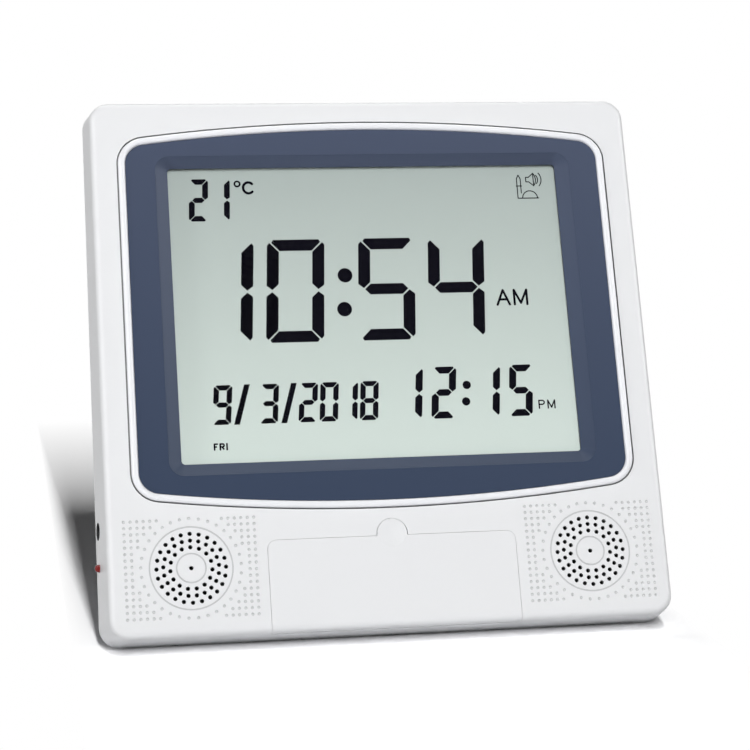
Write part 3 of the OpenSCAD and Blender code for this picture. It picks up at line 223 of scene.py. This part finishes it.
# %% [markdown]
# ## Lamps
# The shadow tells what the lamp was: a tall narrow strip in front. Close to the foot the clock hides
# the whole strip, and farther off only its lower part, which makes the even fading. A low panel on the
# left fills the side wall without filling the shadow. Three white cards show in reflections only: they
# draw the light edges of the bevels and the ring.
#
# A lamp behind shows the back of the clock when it is turned round. It would also fill the shadow, so
# Blender's light linking lets it reach the clock's pieces only, and it has no bounces, so nothing of it
# comes back to the floor from them.


# %% A strip in front, a panel on the left, three cards, and a lamp behind
def panel(name, at, towards, width, height, watts, mirrored=True, lights=True):
    """A rectangular lamp turned to face a point: tilted by the angle between its back and up."""
    lamp = bpy.data.lights.new(name, "AREA")
    lamp.shape = "RECTANGLE"
    lamp.size, lamp.size_y = width, height
    lamp.energy = watts
    thing = bpy.data.objects.new(name, lamp)
    away = np.array(at, float) - np.array(towards, float)
    away /= np.linalg.norm(away)
    thing.rotation_euler = (math.acos(away[2]), 0.0, math.atan2(away[0], -away[1]))
    thing.location = at
    thing.visible_glossy = mirrored
    thing.visible_diffuse = lights
    bpy.context.scene.collection.objects.link(thing)
    return thing


MIDDLE = (0.0, 0.0, 0.12)
panel("key_strip", (-0.065, -1.5, 1.15), (-0.05, 0.0, 0.1), 0.10, 1.0, 26.5, mirrored=False)
panel("left_panel", (-2.0, -0.7, 0.12), (-0.1, 0.0, 0.12), 0.3, 0.2, 9.0, mirrored=False)
panel("right_card", (1.45, -0.45, 0.9), MIDDLE, 1.2, 1.2, 14.0, lights=False)
panel("top_card", (0.0, 0.35, 1.5), MIDDLE, 1.2, 1.2, 12.0, lights=False)
panel("left_card", (-1.25, -0.8, 0.9), MIDDLE, 0.9, 0.9, 5.0, lights=False)
back_lamp = panel("back_panel", (0.55, 1.75, 0.75), (0.0, 0.05, 0.11), 0.9, 0.9, 22.0, mirrored=False)
back_lamp.data.cycles.max_bounces = 0

# %% [markdown]
# ## Moulded plastic
# Nearly everything that shows is ABS, the glossy plastic of household electronics, squeezed into a
# steel mould. Its colour is even, with the faintest clouds. Its surface copies the mould: polished on
# the ring, lightly blasted on the casing and coarser on the back. So one finish with four numbers
# makes them all: two nearly equal colours, a roughness, and the grain's width and depth.


# %% One finish for every moulded piece
CLOUD_MM, WAVER = 60.0, 0.04


def moulded(name, light, dark, roughness, grain_mm, depth_mm, coat=0.0, shine=0.5):
    """Clouds mix two colours. A finer noise is the grain: height and gloss both rise and fall with it."""
    material, tree, shader = new_material(name, {
        "IOR": 1.53, "Coat Weight": coat, "Coat Roughness": 0.08, "Specular IOR Level": shine})
    where = add(tree, "ShaderNodeTexCoord").outputs["Object"]
    cloud = add(tree, "ShaderNodeTexNoise", {"Vector": where, "Scale": 1000 / CLOUD_MM, "Detail": 2.0})
    tint = add(tree, "ShaderNodeMix", {0: cloud.outputs[0], 6: linear(dark), 7: linear(light)}, data_type="RGBA")
    grain = add(tree, "ShaderNodeTexNoise", {"Vector": where, "Scale": 1000 / grain_mm, "Detail": 3.0})
    gloss = add(tree, "ShaderNodeMapRange", {"Value": grain.outputs[0], "To Min": roughness - WAVER,
                                             "To Max": roughness + WAVER})
    relief = add(tree, "ShaderNodeBump", {"Height": grain.outputs[0], "Strength": 1.0, "Distance": depth_mm / 1000})
    tree.links.new(tint.outputs[2], shader.inputs["Base Color"])
    tree.links.new(gloss.outputs[0], shader.inputs["Roughness"])
    tree.links.new(relief.outputs[0], shader.inputs["Normal"])
    return material


# Blasting leaves pits of a tenth of a millimetre. The grains are drawn several times coarser than
# that, so that they still show in the picture.
back_abs = moulded("white_abs_blasted", "#e9ebee", "#e3e5e9", 0.52, 0.8, 0.03)
ring_abs = moulded("white_abs_polished", "#fbfcff", "#f8f9fd", 0.14, 2.0, 0.002, coat=0.3)
key_abs = moulded("grey_abs_satin", "#c9ccd2", "#c2c5cc", 0.42, 0.6, 0.01)
inner_abs = moulded("natural_abs", "#dcdad0", "#d4d2c8", 0.5, 1.0, 0.01)
black_abs = moulded("black_nylon", "#121213", "#0c0c0d", 0.6, 0.6, 0.02, shine=0.1)
for node in ("rear_cover", "battery_door", "stand_leg"):
    dress(node, back_abs)
for node in ("key_1", "key_2", "key_3", "key_4", "key_5", "key_6"):
    dress(node, key_abs)
for node in ("lcd_frame", "wire_sockets"):
    dress(node, inner_abs)
for node in ("key_switches", "dc_jack", "main_chip", "board_chips", "thermistor"):
    dress(node, black_abs)
print("moulded finishes:", [m.name for m in (back_abs, ring_abs, key_abs, inner_abs, black_abs)])

# %% [markdown]
# ## Heights and depths inside a material
# The next finishes change with the height up the face or with the depth below it. A material only
# knows the leaning coordinates of the finished clock, so a Mapping node turns them upright first.


# %% Upright coordinates inside a material
def upright(tree):
    """Object coordinates turned by the lean, so that Z runs up the face and Y into the casing."""
    where = add(tree, "ShaderNodeTexCoord").outputs["Object"]
    return add(tree, "ShaderNodeMapping", {"Vector": where, "Rotation": (LEAN, 0.0, 0.0)}).outputs[0]


def up_the_face(tree, low_mm, high_mm):
    """0 at a low height and 1 at a high one, both measured up the face in millimetres."""
    parts = add(tree, "ShaderNodeSeparateXYZ", {0: upright(tree)})
    return add(tree, "ShaderNodeMapRange", {"Value": parts.outputs[2], "From Min": (low_mm - FOOT_Z) / 1000,
                                            "From Max": (high_mm - FOOT_Z) / 1000}).outputs[0]


print("in a material, the face's foot lies at Z =", round(-FOOT_Z / 1000, 5), "m")

# %% [markdown]
# ## White casing
# The front is lightly blasted ABS: an even white with a soft, wide shine. In a corner light does not
# reach, white plastic looks grey, and the eye reads the dimples and the rings round the speakers by
# that. They are too small for the lamps to draw alone, so shade is painted into the colour: it darkens
# with the depth below the face. The wall of the power socket's hole gets painted shade as well,
# because it only sees the black socket.

# %% Painted shade in the dimples and grooves, and on the wall of the socket's hole
# The dark colour and the amounts of the painted shade in recesses.
CASING_LIGHT, CASING_DARK, RECESS_SHADE = "#f3f4f5", "#f0f1f3", "#1c1d20"
DIMPLE_MM, DIMPLE_SHADE = (0.004, 0.04), 0.3
GROOVE_MM, GROOVE_SHADE = (0.4, 1.0), 0.45
FACE_HALF, FACE_LOW, FACE_TOP = 107.5, 5.0, 213.0
FLAP_SIDE, FLAP_RISE = 51.5, 44.5
SOCKET_Y, SOCKET_Z, SOCKET_R, SOCKET_X = 17.4, 45.5, 3.58, -100.0

casing_abs = moulded("white_abs_satin", CASING_LIGHT, CASING_DARK, 0.34, 0.6, 0.004)
shell_abs = moulded("white_abs_satin_painted_shade", CASING_LIGHT, CASING_DARK, 0.34, 0.6, 0.004)
tree = shell_abs.node_tree
shader = next(n for n in tree.nodes if n.type == "BSDF_PRINCIPLED")
plain = shader.inputs["Base Color"].links[0].from_socket
parts = add(tree, "ShaderNodeSeparateXYZ", {0: upright(tree)})
right, inward, rise = parts.outputs
deep = add(tree, "ShaderNodeMath", {0: inward, 1: FOOT_Y / 1000}, operation="ADD").outputs[0]
aside = add(tree, "ShaderNodeMath", {0: right}, operation="ABSOLUTE").outputs[0]

# Painted shade grows in two steps: a little over the dimples' depth, and more in the deep grooves.
dimple = add(tree, "ShaderNodeMapRange", {"Value": deep, "From Min": DIMPLE_MM[0] / 1000,
                                          "From Max": DIMPLE_MM[1] / 1000, "To Min": 0.0, "To Max": DIMPLE_SHADE})
groove = add(tree, "ShaderNodeMapRange", {"Value": deep, "From Min": GROOVE_MM[0] / 1000,
                                          "From Max": GROOVE_MM[1] / 1000, "To Min": 0.0, "To Max": GROOVE_SHADE})
shade = add(tree, "ShaderNodeMath", {0: dimple.outputs[0], 1: groove.outputs[0]}, operation="ADD").outputs[0]

# Only the flat of the face counts, without the rounded edges and the opening of the flap.
for value, limit_mm, way in ((aside, FACE_HALF, "LESS_THAN"), (rise, FACE_LOW - FOOT_Z, "GREATER_THAN"),
                             (rise, FACE_TOP - FOOT_Z, "LESS_THAN")):
    inside = add(tree, "ShaderNodeMath", {0: value, 1: limit_mm / 1000}, operation=way).outputs[0]
    shade = add(tree, "ShaderNodeMath", {0: shade, 1: inside}, operation="MULTIPLY").outputs[0]
beside = add(tree, "ShaderNodeMath", {0: aside, 1: FLAP_SIDE / 1000}, operation="GREATER_THAN").outputs[0]
above = add(tree, "ShaderNodeMath", {0: rise, 1: (FLAP_RISE - FOOT_Z) / 1000}, operation="GREATER_THAN").outputs[0]
off_flap = add(tree, "ShaderNodeMath", {0: beside, 1: above}, operation="MAXIMUM").outputs[0]
shade = add(tree, "ShaderNodeMath", {0: shade, 1: off_flap}, operation="MULTIPLY").outputs[0]

# The hole's wall gets painted shade: nearer to the socket's axis than its radius, on the left.
across = add(tree, "ShaderNodeCombineXYZ", {1: inward, 2: rise}).outputs[0]
axis = (0.0, (SOCKET_Y - FOOT_Y) / 1000, (SOCKET_Z - FOOT_Z) / 1000)
from_axis = add(tree, "ShaderNodeVectorMath", {0: across, 1: axis}, operation="DISTANCE").outputs["Value"]
in_hole = add(tree, "ShaderNodeMath", {0: from_axis, 1: SOCKET_R / 1000}, operation="LESS_THAN").outputs[0]
on_left = add(tree, "ShaderNodeMath", {0: right, 1: SOCKET_X / 1000}, operation="LESS_THAN").outputs[0]
in_hole = add(tree, "ShaderNodeMath", {0: in_hole, 1: on_left}, operation="MULTIPLY").outputs[0]
shade = add(tree, "ShaderNodeMath", {0: shade, 1: in_hole}, operation="MAXIMUM").outputs[0]

# Painted shade: the white is mixed towards dark grey where the mask marks a recess or the hole's wall.
shaded_colour = add(tree, "ShaderNodeMix", {0: shade, 6: plain, 7: linear(RECESS_SHADE)}, data_type="RGBA")
tree.links.new(shaded_colour.outputs[2], shader.inputs["Base Color"])
dress("front_shell", shell_abs)
print("casing nodes:", len(tree.nodes))

# %% [markdown]
# ## Slate-blue fascia
# The surround is a separate plate of ABS sprayed with a satin lacquer. Its colour is painted a shade
# lighter and warmer at the top than at the foot: painted light, for the room's light that falls on the
# plate and reflects off it. The lacquer carries very fine metallic dust that breaks up the
# reflections. A sprayed film also keeps a faint orange peel a few millimetres wide.

# %% Slate lacquer
DUST_MM, PEEL_MM, PEEL_DEPTH_MM = 0.4, 3.0, 0.01  # real dust is ten times finer and wouldn't show
lacquer, tree, shader = new_material("slate_lacquer", {"IOR": 1.5, "Specular IOR Level": 0.25})
# Painted light: the colour runs from darker at the foot to lighter at the top.
shade = add(tree, "ShaderNodeMix", {0: up_the_face(tree, 50, 207), 6: linear("#333f55"), 7: linear("#464f64")},
            data_type="RGBA")
dust = add(tree, "ShaderNodeTexNoise", {"Vector": upright(tree), "Scale": 1000 / DUST_MM, "Detail": 2.0})
fleck = add(tree, "ShaderNodeMapRange", {"Value": dust.outputs[0], "From Min": 0.35, "From Max": 0.7,
                                         "To Min": 0.44, "To Max": 0.52})
spray = add(tree, "ShaderNodeTexNoise", {"Vector": upright(tree), "Scale": 1000 / PEEL_MM, "Detail": 1.0})
peel = add(tree, "ShaderNodeBump", {"Height": spray.outputs[0], "Strength": 1.0, "Distance": PEEL_DEPTH_MM / 1000})
tree.links.new(shade.outputs[2], shader.inputs["Base Color"])
tree.links.new(fleck.outputs[0], shader.inputs["Roughness"])
tree.links.new(peel.outputs[0], shader.inputs["Normal"])
dress("fascia", lacquer)
print("lacquer:", lacquer.name)

# %% [markdown]
# ## Liquid crystal display
# A display like this is a sandwich. Dark segments lie between two plates of glass. The rear plate has
# a frosted polariser on it and a satin foil behind, which throw the room's light back as a pale
# grey-green. Its lightening towards the foot is painted into the colour: a painted reflection of the
# room's light. The segments are a film without any shine.
#
# The front plate could refract like real glass, but its shadow would then fall on the segments and the
# picture would be noisy. A low alpha lets the light straight through and keeps the gloss.

# %% Front glass
glass, tree, shader = new_material("display_glass", {"Base Color": linear("#1c221f"), "IOR": 1.5, "Alpha": 0.02})
where = add(tree, "ShaderNodeTexCoord").outputs["Object"]
haze = add(tree, "ShaderNodeTexNoise", {"Vector": where, "Scale": 1 / 0.02, "Detail": 3.0})
smear = add(tree, "ShaderNodeMapRange", {"Value": haze.outputs[0], "To Min": 0.10, "To Max": 0.18})
tree.links.new(smear.outputs[0], shader.inputs["Roughness"])
dress("lcd_front_glass", glass)
print("glass alpha:", shader.inputs["Alpha"].default_value)


# %% Rear polariser and foil
WINDOW_LOW, WINDOW_TOP = 68, 191
FIBRE_MM = 0.5  # the film's own fibres are finer and wouldn't show


def backing(name, low, high):
    """Two shades mixed by the height up the window as painted light, and a gloss that follows a fine noise."""
    material, tree, shader = new_material(name, {"IOR": 1.45})
    shade = add(tree, "ShaderNodeMix", {0: up_the_face(tree, WINDOW_LOW, WINDOW_TOP), 6: linear(low),
                                        7: linear(high)}, data_type="RGBA")
    fibre = add(tree, "ShaderNodeTexNoise", {"Vector": upright(tree), "Scale": 1000 / FIBRE_MM, "Detail": 2.0})
    matt = add(tree, "ShaderNodeMapRange", {"Value": fibre.outputs[0], "To Min": 0.50, "To Max": 0.60})
    tree.links.new(shade.outputs[2], shader.inputs["Base Color"])
    tree.links.new(matt.outputs[0], shader.inputs["Roughness"])
    return material


# Both are painted lighter towards the foot: a painted reflection of the room's light.
polariser = backing("frosted_polariser", "#e3f0e9", "#b5c0bc")
foil = backing("satin_foil", "#d6dad8", "#c8cccb")
dress("lcd_rear_glass", polariser)
dress("lcd_reflector", foil)
print("display backing:", polariser.name, "over", foil.name)

# %% Dark segments
crystal_ink, tree, shader = new_material("liquid_crystal_dark", {"IOR": 1.4, "Specular IOR Level": 0.05})
where = add(tree, "ShaderNodeTexCoord").outputs["Object"]
cloud = add(tree, "ShaderNodeTexNoise", {"Vector": where, "Scale": 1 / 0.03, "Detail": 1.0})
ink = add(tree, "ShaderNodeMix", {0: cloud.outputs[0], 6: linear("#07060d"), 7: linear("#0d0c16")},
          data_type="RGBA")
rough = add(tree, "ShaderNodeMapRange", {"Value": cloud.outputs[0], "To Min": 0.55, "To Max": 0.65})
tree.links.new(ink.outputs[2], shader.inputs["Base Color"])
tree.links.new(rough.outputs[0], shader.inputs["Roughness"])
dress("lcd_segments", crystal_ink)
print("segment ink:", crystal_ink.name)

# %% [markdown]
# ## Trim ring
# The polished ring round the fascia catches one long highlight, and a highlight shows every facet. So
# the ring is drawn again as a smooth surface: a small section, flat at the sides with a half-round
# crown, carried along the arched outline. Both are arrays, and one sum joins them into a grid.

# %% The arched outline
FASCIA_HALF, ARCH_R, CORNER_R = 98.6, 725.0, 8.5
TOP_Z, LOW_Z = 206.75, 50.65
reach = math.sqrt((ARCH_R - CORNER_R) ** 2 - (FASCIA_HALF - CORNER_R) ** 2)
phi = math.asin((FASCIA_HALF - CORNER_R) / (ARCH_R - CORNER_R))
ARCH_STEPS, CORNER_STEPS = 80, 36


def arc(cx, cz, r, start, stop, count):
    """Centre plus radius times direction, at even angles; the end point is left to the next arc."""
    a = start + (stop - start) * np.arange(count) / count
    way = np.stack([np.cos(a), np.sin(a)], axis=1)
    return np.array([cx, cz]) + r * way, way


def outline():
    """Six arcs in turn, clockwise from the top left: arch, two corners, arch, two corners."""
    x, top, low = FASCIA_HALF - CORNER_R, TOP_Z - ARCH_R + reach, LOW_Z + ARCH_R - reach
    q = math.pi / 2
    arcs = [arc(0, TOP_Z - ARCH_R, ARCH_R, q + phi, q - phi, ARCH_STEPS),
            arc(x, top, CORNER_R, q - phi, 0, CORNER_STEPS),
            arc(x, low, CORNER_R, 0, phi - q, CORNER_STEPS),
            arc(0, LOW_Z + ARCH_R, ARCH_R, 3 * q + phi, 3 * q - phi, ARCH_STEPS),
            arc(-x, low, CORNER_R, 3 * q - phi, 2 * q, CORNER_STEPS),
            arc(-x, top, CORNER_R, 2 * q, q + phi, CORNER_STEPS)]
    return np.concatenate([a[0] for a in arcs]), np.concatenate([a[1] for a in arcs])


at, way = outline()
print("outline points:", len(at))

# %% The ring's section
# Outward distance and depth: two points at the back, then half a circle that stands out of the face.
RING_W, RING_OUT, RIM_Y = 2.95, 1.2, 1.8
turn = np.linspace(0, math.pi, 21)
crown = np.stack([RING_W / 2 * (1 + np.cos(turn)), RING_W / 2 * (1 - np.sin(turn)) - RING_OUT], axis=1)
section = np.concatenate([[[0.0, RIM_Y], [RING_W, RIM_Y]], crown])
print("section points:", len(section))


# %% Join them into the ring
def grid_mesh(name, points, material, body):
    """Quads over a grid that closes both ways; a point's number is its row times the width plus its column."""
    rows, cols = points.shape[:2]
    i, j = np.meshgrid(np.arange(rows), np.arange(cols), indexing="ij")
    k, m = (i + 1) % rows, (j + 1) % cols
    quads = np.stack([i * cols + j, i * cols + m, k * cols + m, k * cols + j], axis=-1).reshape(-1, 4)
    mesh = bpy.data.meshes.new(name)
    mesh.from_pydata(points.reshape(-1, 3).tolist(), [], quads.tolist())
    mesh.polygons.foreach_set("use_smooth", np.ones(len(quads), bool))
    mesh.materials.append(material)
    thing = bpy.data.objects.new(name, mesh)
    bpy.context.scene.collection.objects.link(thing)
    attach(thing, body)
    return thing


flat = at[:, None, :] + way[:, None, :] * section[None, :, :1]
depth = np.broadcast_to(section[None, :, 1], flat.shape[:2])
points = leaned(np.stack([flat[..., 0], depth, flat[..., 1]], axis=-1))
ring = grid_mesh("polished_ring", points, ring_abs, "casing")
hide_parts("trim_ring")
print("ring faces:", len(ring.data.polygons))

# %% [markdown]
# ## Flap
# The seam round the flap is hardly seen on the real clock, because the moulded lid fills its opening
# closely. The loaded lid has the wider gap that a hinge needs on paper. So a copy of it is stretched
# by less than a fifth of a millimetre, which leaves a hairline, and gets the casing's finish. The
# loaded mesh is loose triangles, so the copy's doubled corners are merged first.


# %% Stretch a copy of the flap into its opening
CLOSER, FLAP_HALF, FLAP_H, HINGE_Z = 0.17, 49.6, 36.0, 3.0
MERGE_M = 1e-6


def upright_mm(points):
    """The lean undone: turn back about X, then move the foot's middle back to its place."""
    p = np.asarray(points, dtype=float) * 1000.0
    c, s = math.cos(LEAN), math.sin(LEAN)
    return np.stack([p[:, 0], p[:, 1] * c - p[:, 2] * s + FOOT_Y, p[:, 1] * s + p[:, 2] * c + FOOT_Z], axis=-1)


def closer_flap():
    """A copy whose widths grow in step with x, and heights above the hinge in step with z."""
    mesh = frame["nodes"]["flap_door"].data.copy()
    mesh.name = "close_flap"
    welder = bmesh.new()
    welder.from_mesh(mesh)
    bmesh.ops.remove_doubles(welder, verts=welder.verts, dist=MERGE_M)
    welder.to_mesh(mesh)
    welder.free()
    flat = np.empty(len(mesh.vertices) * 3)
    mesh.vertices.foreach_get("co", flat)
    p = upright_mm(flat.reshape(-1, 3))
    p[:, 0] *= 1.0 + CLOSER / FLAP_HALF
    p[:, 2] += np.clip(p[:, 2] - HINGE_Z, 0.0, None) * CLOSER / (FLAP_H - HINGE_Z)
    mesh.vertices.foreach_set("co", leaned(p).ravel())
    mesh.materials.clear()
    mesh.materials.append(casing_abs)
    thing = bpy.data.objects.new("close_flap", mesh)
    bpy.context.scene.collection.objects.link(thing)
    return thing


flap = closer_flap()
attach(flap, "flap")
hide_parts("flap_door")
print("flap corners:", len(flap.data.vertices))

# %% [markdown]
# ## Rubber and cable sleeves
# The pieces inside are hidden until a lid opens, but they get their real finishes too. The feet are
# cut from nitrile rubber: nearly black, matt, with a fine crumb. The wires' sleeves are soft PVC, as
# matt and much smoother. So one finish takes the two colours and the crumb's width and depth.


# %% Rubber and cable sleeves
def rubbery(name, light, dark, grain_mm, depth_mm):
    """Two close colours mixed by clouds eight grains wide; a noise one grain wide sets the height."""
    material, tree, shader = new_material(name, {"IOR": 1.48, "Roughness": 0.72})
    where = add(tree, "ShaderNodeTexCoord").outputs["Object"]
    cloud = add(tree, "ShaderNodeTexNoise", {"Vector": where, "Scale": 1000 / (grain_mm * 8), "Detail": 3.0})
    tint = add(tree, "ShaderNodeMix", {0: cloud.outputs[0], 6: linear(dark), 7: linear(light)}, data_type="RGBA")
    grain = add(tree, "ShaderNodeTexNoise", {"Vector": where, "Scale": 1000 / grain_mm, "Detail": 2.0})
    relief = add(tree, "ShaderNodeBump", {"Height": grain.outputs[0], "Distance": depth_mm / 1000})
    tree.links.new(tint.outputs[2], shader.inputs["Base Color"])
    tree.links.new(relief.outputs[0], shader.inputs["Normal"])
    return material


black_rubber = rubbery("black_rubber", "#2a2a2c", "#1e1e20", 0.7, 0.03)
for node in ("rubber_feet", "stand_foot"):
    dress(node, black_rubber)
dress("speaker_wires", rubbery("red_pvc", "#b02018", "#98180f", 0.5, 0.005))
dress("battery_wires", rubbery("black_pvc", "#242428", "#19191c", 0.5, 0.005))
dress("board_wires", rubbery("grey_pvc", "#c8c8c4", "#b8b8b4", 0.5, 0.005))
dress("zebra_strip", rubbery("pink_elastomer", "#d99aa4", "#b86f7c", 0.4, 0.01))
print("rubber:", black_rubber.name)

# %% [markdown]
# ## Metals
# Screws, springs and contact plates are steel with a thin coat of zinc: bright, a little blue, and not
# quite a mirror. The speakers' baskets are pressed steel blackened in a bath, and the magnets are
# ground ferrite, a ceramic that only half looks like metal. Rolling and grinding leave long fine
# marks, so a noise stretched along one direction wavers the colour and the gloss.


# %% Metals: plated steel, pressed basket steel and ferrite
def metal(name, light, dark, roughness, metallic, grain_mm):
    """A noise squeezed to an eighth along X gives streaks; colour and roughness both follow it."""
    material, tree, shader = new_material(name, {"Metallic": metallic})
    where = add(tree, "ShaderNodeTexCoord").outputs["Object"]
    along = add(tree, "ShaderNodeMapping", {"Vector": where, "Scale": (0.12, 1.0, 1.0)}).outputs[0]
    streak = add(tree, "ShaderNodeTexNoise", {"Vector": along, "Scale": 1000 / grain_mm, "Detail": 3.0})
    tint = add(tree, "ShaderNodeMix", {0: streak.outputs[0], 6: linear(dark), 7: linear(light)}, data_type="RGBA")
    rough = add(tree, "ShaderNodeMapRange", {"Value": streak.outputs[0], "To Min": roughness - 0.06,
                                             "To Max": roughness + 0.06})
    tree.links.new(tint.outputs[2], shader.inputs["Base Color"])
    tree.links.new(rough.outputs[0], shader.inputs["Roughness"])
    return material


plated = metal("zinc_plated_steel", "#c9ccd0", "#b4b8be", 0.28, 1.0, 0.3)
basket = metal("black_oxide_steel", "#34353a", "#26272b", 0.45, 0.8, 0.3)
ferrite = metal("ground_ferrite", "#4a4a4e", "#3a3a3e", 0.55, 0.3, 0.4)
for node in ("speaker_screws", "case_screws", "board_screws", "frame_screws", "key_board_screws", "crystal",
             "battery_springs", "battery_plates", "dc_jack_pin"):
    dress(node, plated)
for side_name in ("left", "right"):
    dress("speaker_frame_" + side_name, basket)
    dress("speaker_magnet_" + side_name, ferrite)
dress("capacitors", metal("shrink_sleeve", "#2c3350", "#20263e", 0.3, 0.0, 0.6))
print("metals:", [m.name for m in (plated, basket, ferrite)])

# %% [markdown]
# ## Circuit boards
# A board is glass fibre in epoxy with copper tracks, under a film of green solder mask. The film is
# glossy, and looks lighter where it lies on copper. Thin bricks laid in rows give the tracks: the
# joints between them are the copper, on the grid of a fifth of an inch that parts are spaced by.

# %% Solder mask over copper tracks
TRACK_MM, WEAVE_MM, TRACK_RISE_MM = 5.08, 0.9, 0.04
mask, tree, shader = new_material("green_solder_mask", {"IOR": 1.55, "Coat Weight": 0.4, "Coat Roughness": 0.15})
where = upright(tree)
laid = add(tree, "ShaderNodeMapping", {"Vector": where, "Rotation": (math.pi / 2, 0.0, 0.0)}).outputs[0]
tracks = add(tree, "ShaderNodeTexBrick", {
    "Vector": laid, "Color1": linear("#1f6a3c"), "Color2": linear("#1a5c34"), "Mortar": linear("#3a9a5c"),
    "Scale": 1000 / TRACK_MM, "Mortar Size": 0.035, "Brick Width": 2.3, "Row Height": 0.5}, offset=0.37)
weave = add(tree, "ShaderNodeTexNoise", {"Vector": where, "Scale": 1000 / WEAVE_MM, "Detail": 1.0})
rough = add(tree, "ShaderNodeMapRange", {"Value": weave.outputs[0], "To Min": 0.28, "To Max": 0.38})
relief = add(tree, "ShaderNodeBump", {"Height": tracks.outputs[1], "Strength": 1.0,
                                      "Distance": TRACK_RISE_MM / 1000})
tree.links.new(tracks.outputs[0], shader.inputs["Base Color"])
tree.links.new(rough.outputs[0], shader.inputs["Roughness"])
tree.links.new(relief.outputs[0], shader.inputs["Normal"])
for node in ("main_board", "key_board", "side_board"):
    dress(node, mask)
print("board finish:", mask.name)

# %% [markdown]
# ## Speaker cones and cells
# A cone is pressed from black paper pulp, as matt as rubber, so it borrows that finish. A cell is a
# steel can in a printed shrink sleeve. The sleeve is plain blue with a gold end, told apart by one
# step along X, and the gold is a little glossier.

# %% Paper cones and cell sleeves
GOLD_FROM_X = 0.013
paper_cone = rubbery("pressed_paper", "#1d1c1e", "#101011", 0.5, 0.05)
for side_name in ("left", "right"):
    dress("speaker_cone_" + side_name, paper_cone)

sleeve, tree, shader = new_material("printed_sleeve", {"IOR": 1.5, "Coat Weight": 0.5, "Coat Roughness": 0.12})
parts = add(tree, "ShaderNodeSeparateXYZ", {0: add(tree, "ShaderNodeTexCoord").outputs["Object"]})
far_end = add(tree, "ShaderNodeMath", {0: parts.outputs[0], 1: GOLD_FROM_X}, operation="GREATER_THAN")
tint = add(tree, "ShaderNodeMix", {0: far_end.outputs[0], 6: linear("#2b3b66"), 7: linear("#b9a877")},
           data_type="RGBA")
shine = add(tree, "ShaderNodeMapRange", {"Value": far_end.outputs[0], "To Min": 0.35, "To Max": 0.22})
tree.links.new(tint.outputs[2], shader.inputs["Base Color"])
tree.links.new(shine.outputs[0], shader.inputs["Roughness"])
for node in ("cell_1", "cell_2", "cell_3"):
    dress(node, sleeve)
print("cell sleeve:", sleeve.name)

# %% [markdown]
# ## Power lamp
# The lamp in the side is a 3 mm light-emitting diode, cast in dyed epoxy. Seen in daylight it is a deep
# clear red that hardly glows, so the colour does most of the work and the emission very little.

# %% Red epoxy
epoxy, tree, shader = new_material("red_epoxy", {"IOR": 1.55, "Specular IOR Level": 0.25,
                                                "Emission Color": linear("#ff1a10"), "Emission Strength": 0.02})
where = add(tree, "ShaderNodeTexCoord").outputs["Object"]
swirl = add(tree, "ShaderNodeTexNoise", {"Vector": where, "Scale": 1 / 0.002, "Detail": 1.0})
tint = add(tree, "ShaderNodeMix", {0: swirl.outputs[0], 6: linear("#640808"), 7: linear("#84100c")},
           data_type="RGBA")
rough = add(tree, "ShaderNodeMapRange", {"Value": swirl.outputs[0], "To Min": 0.12, "To Max": 0.2})
tree.links.new(tint.outputs[2], shader.inputs["Base Color"])
tree.links.new(rough.outputs[0], shader.inputs["Roughness"])
dress("power_lamp", epoxy)
print("lamp finish:", epoxy.name)

# %% [markdown]
# ## Last steps
# The lamp behind gets its list of pieces now that all of them exist. Then every node is checked for a
# finish.

# %% Let the back lamp reach the clock only
clock_pieces = bpy.data.collections.new("clock_pieces")
for thing in bpy.data.objects:
    if thing.type == "MESH" and thing != floor:
        clock_pieces.objects.link(thing)
back_lamp.light_linking.receiver_collection = clock_pieces

# %% Look for bare nodes
bare = [name for name, thing in frame["nodes"].items()
        if not thing.data.materials or not thing.data.materials[0].use_nodes]
print("nodes without a finish:", bare)
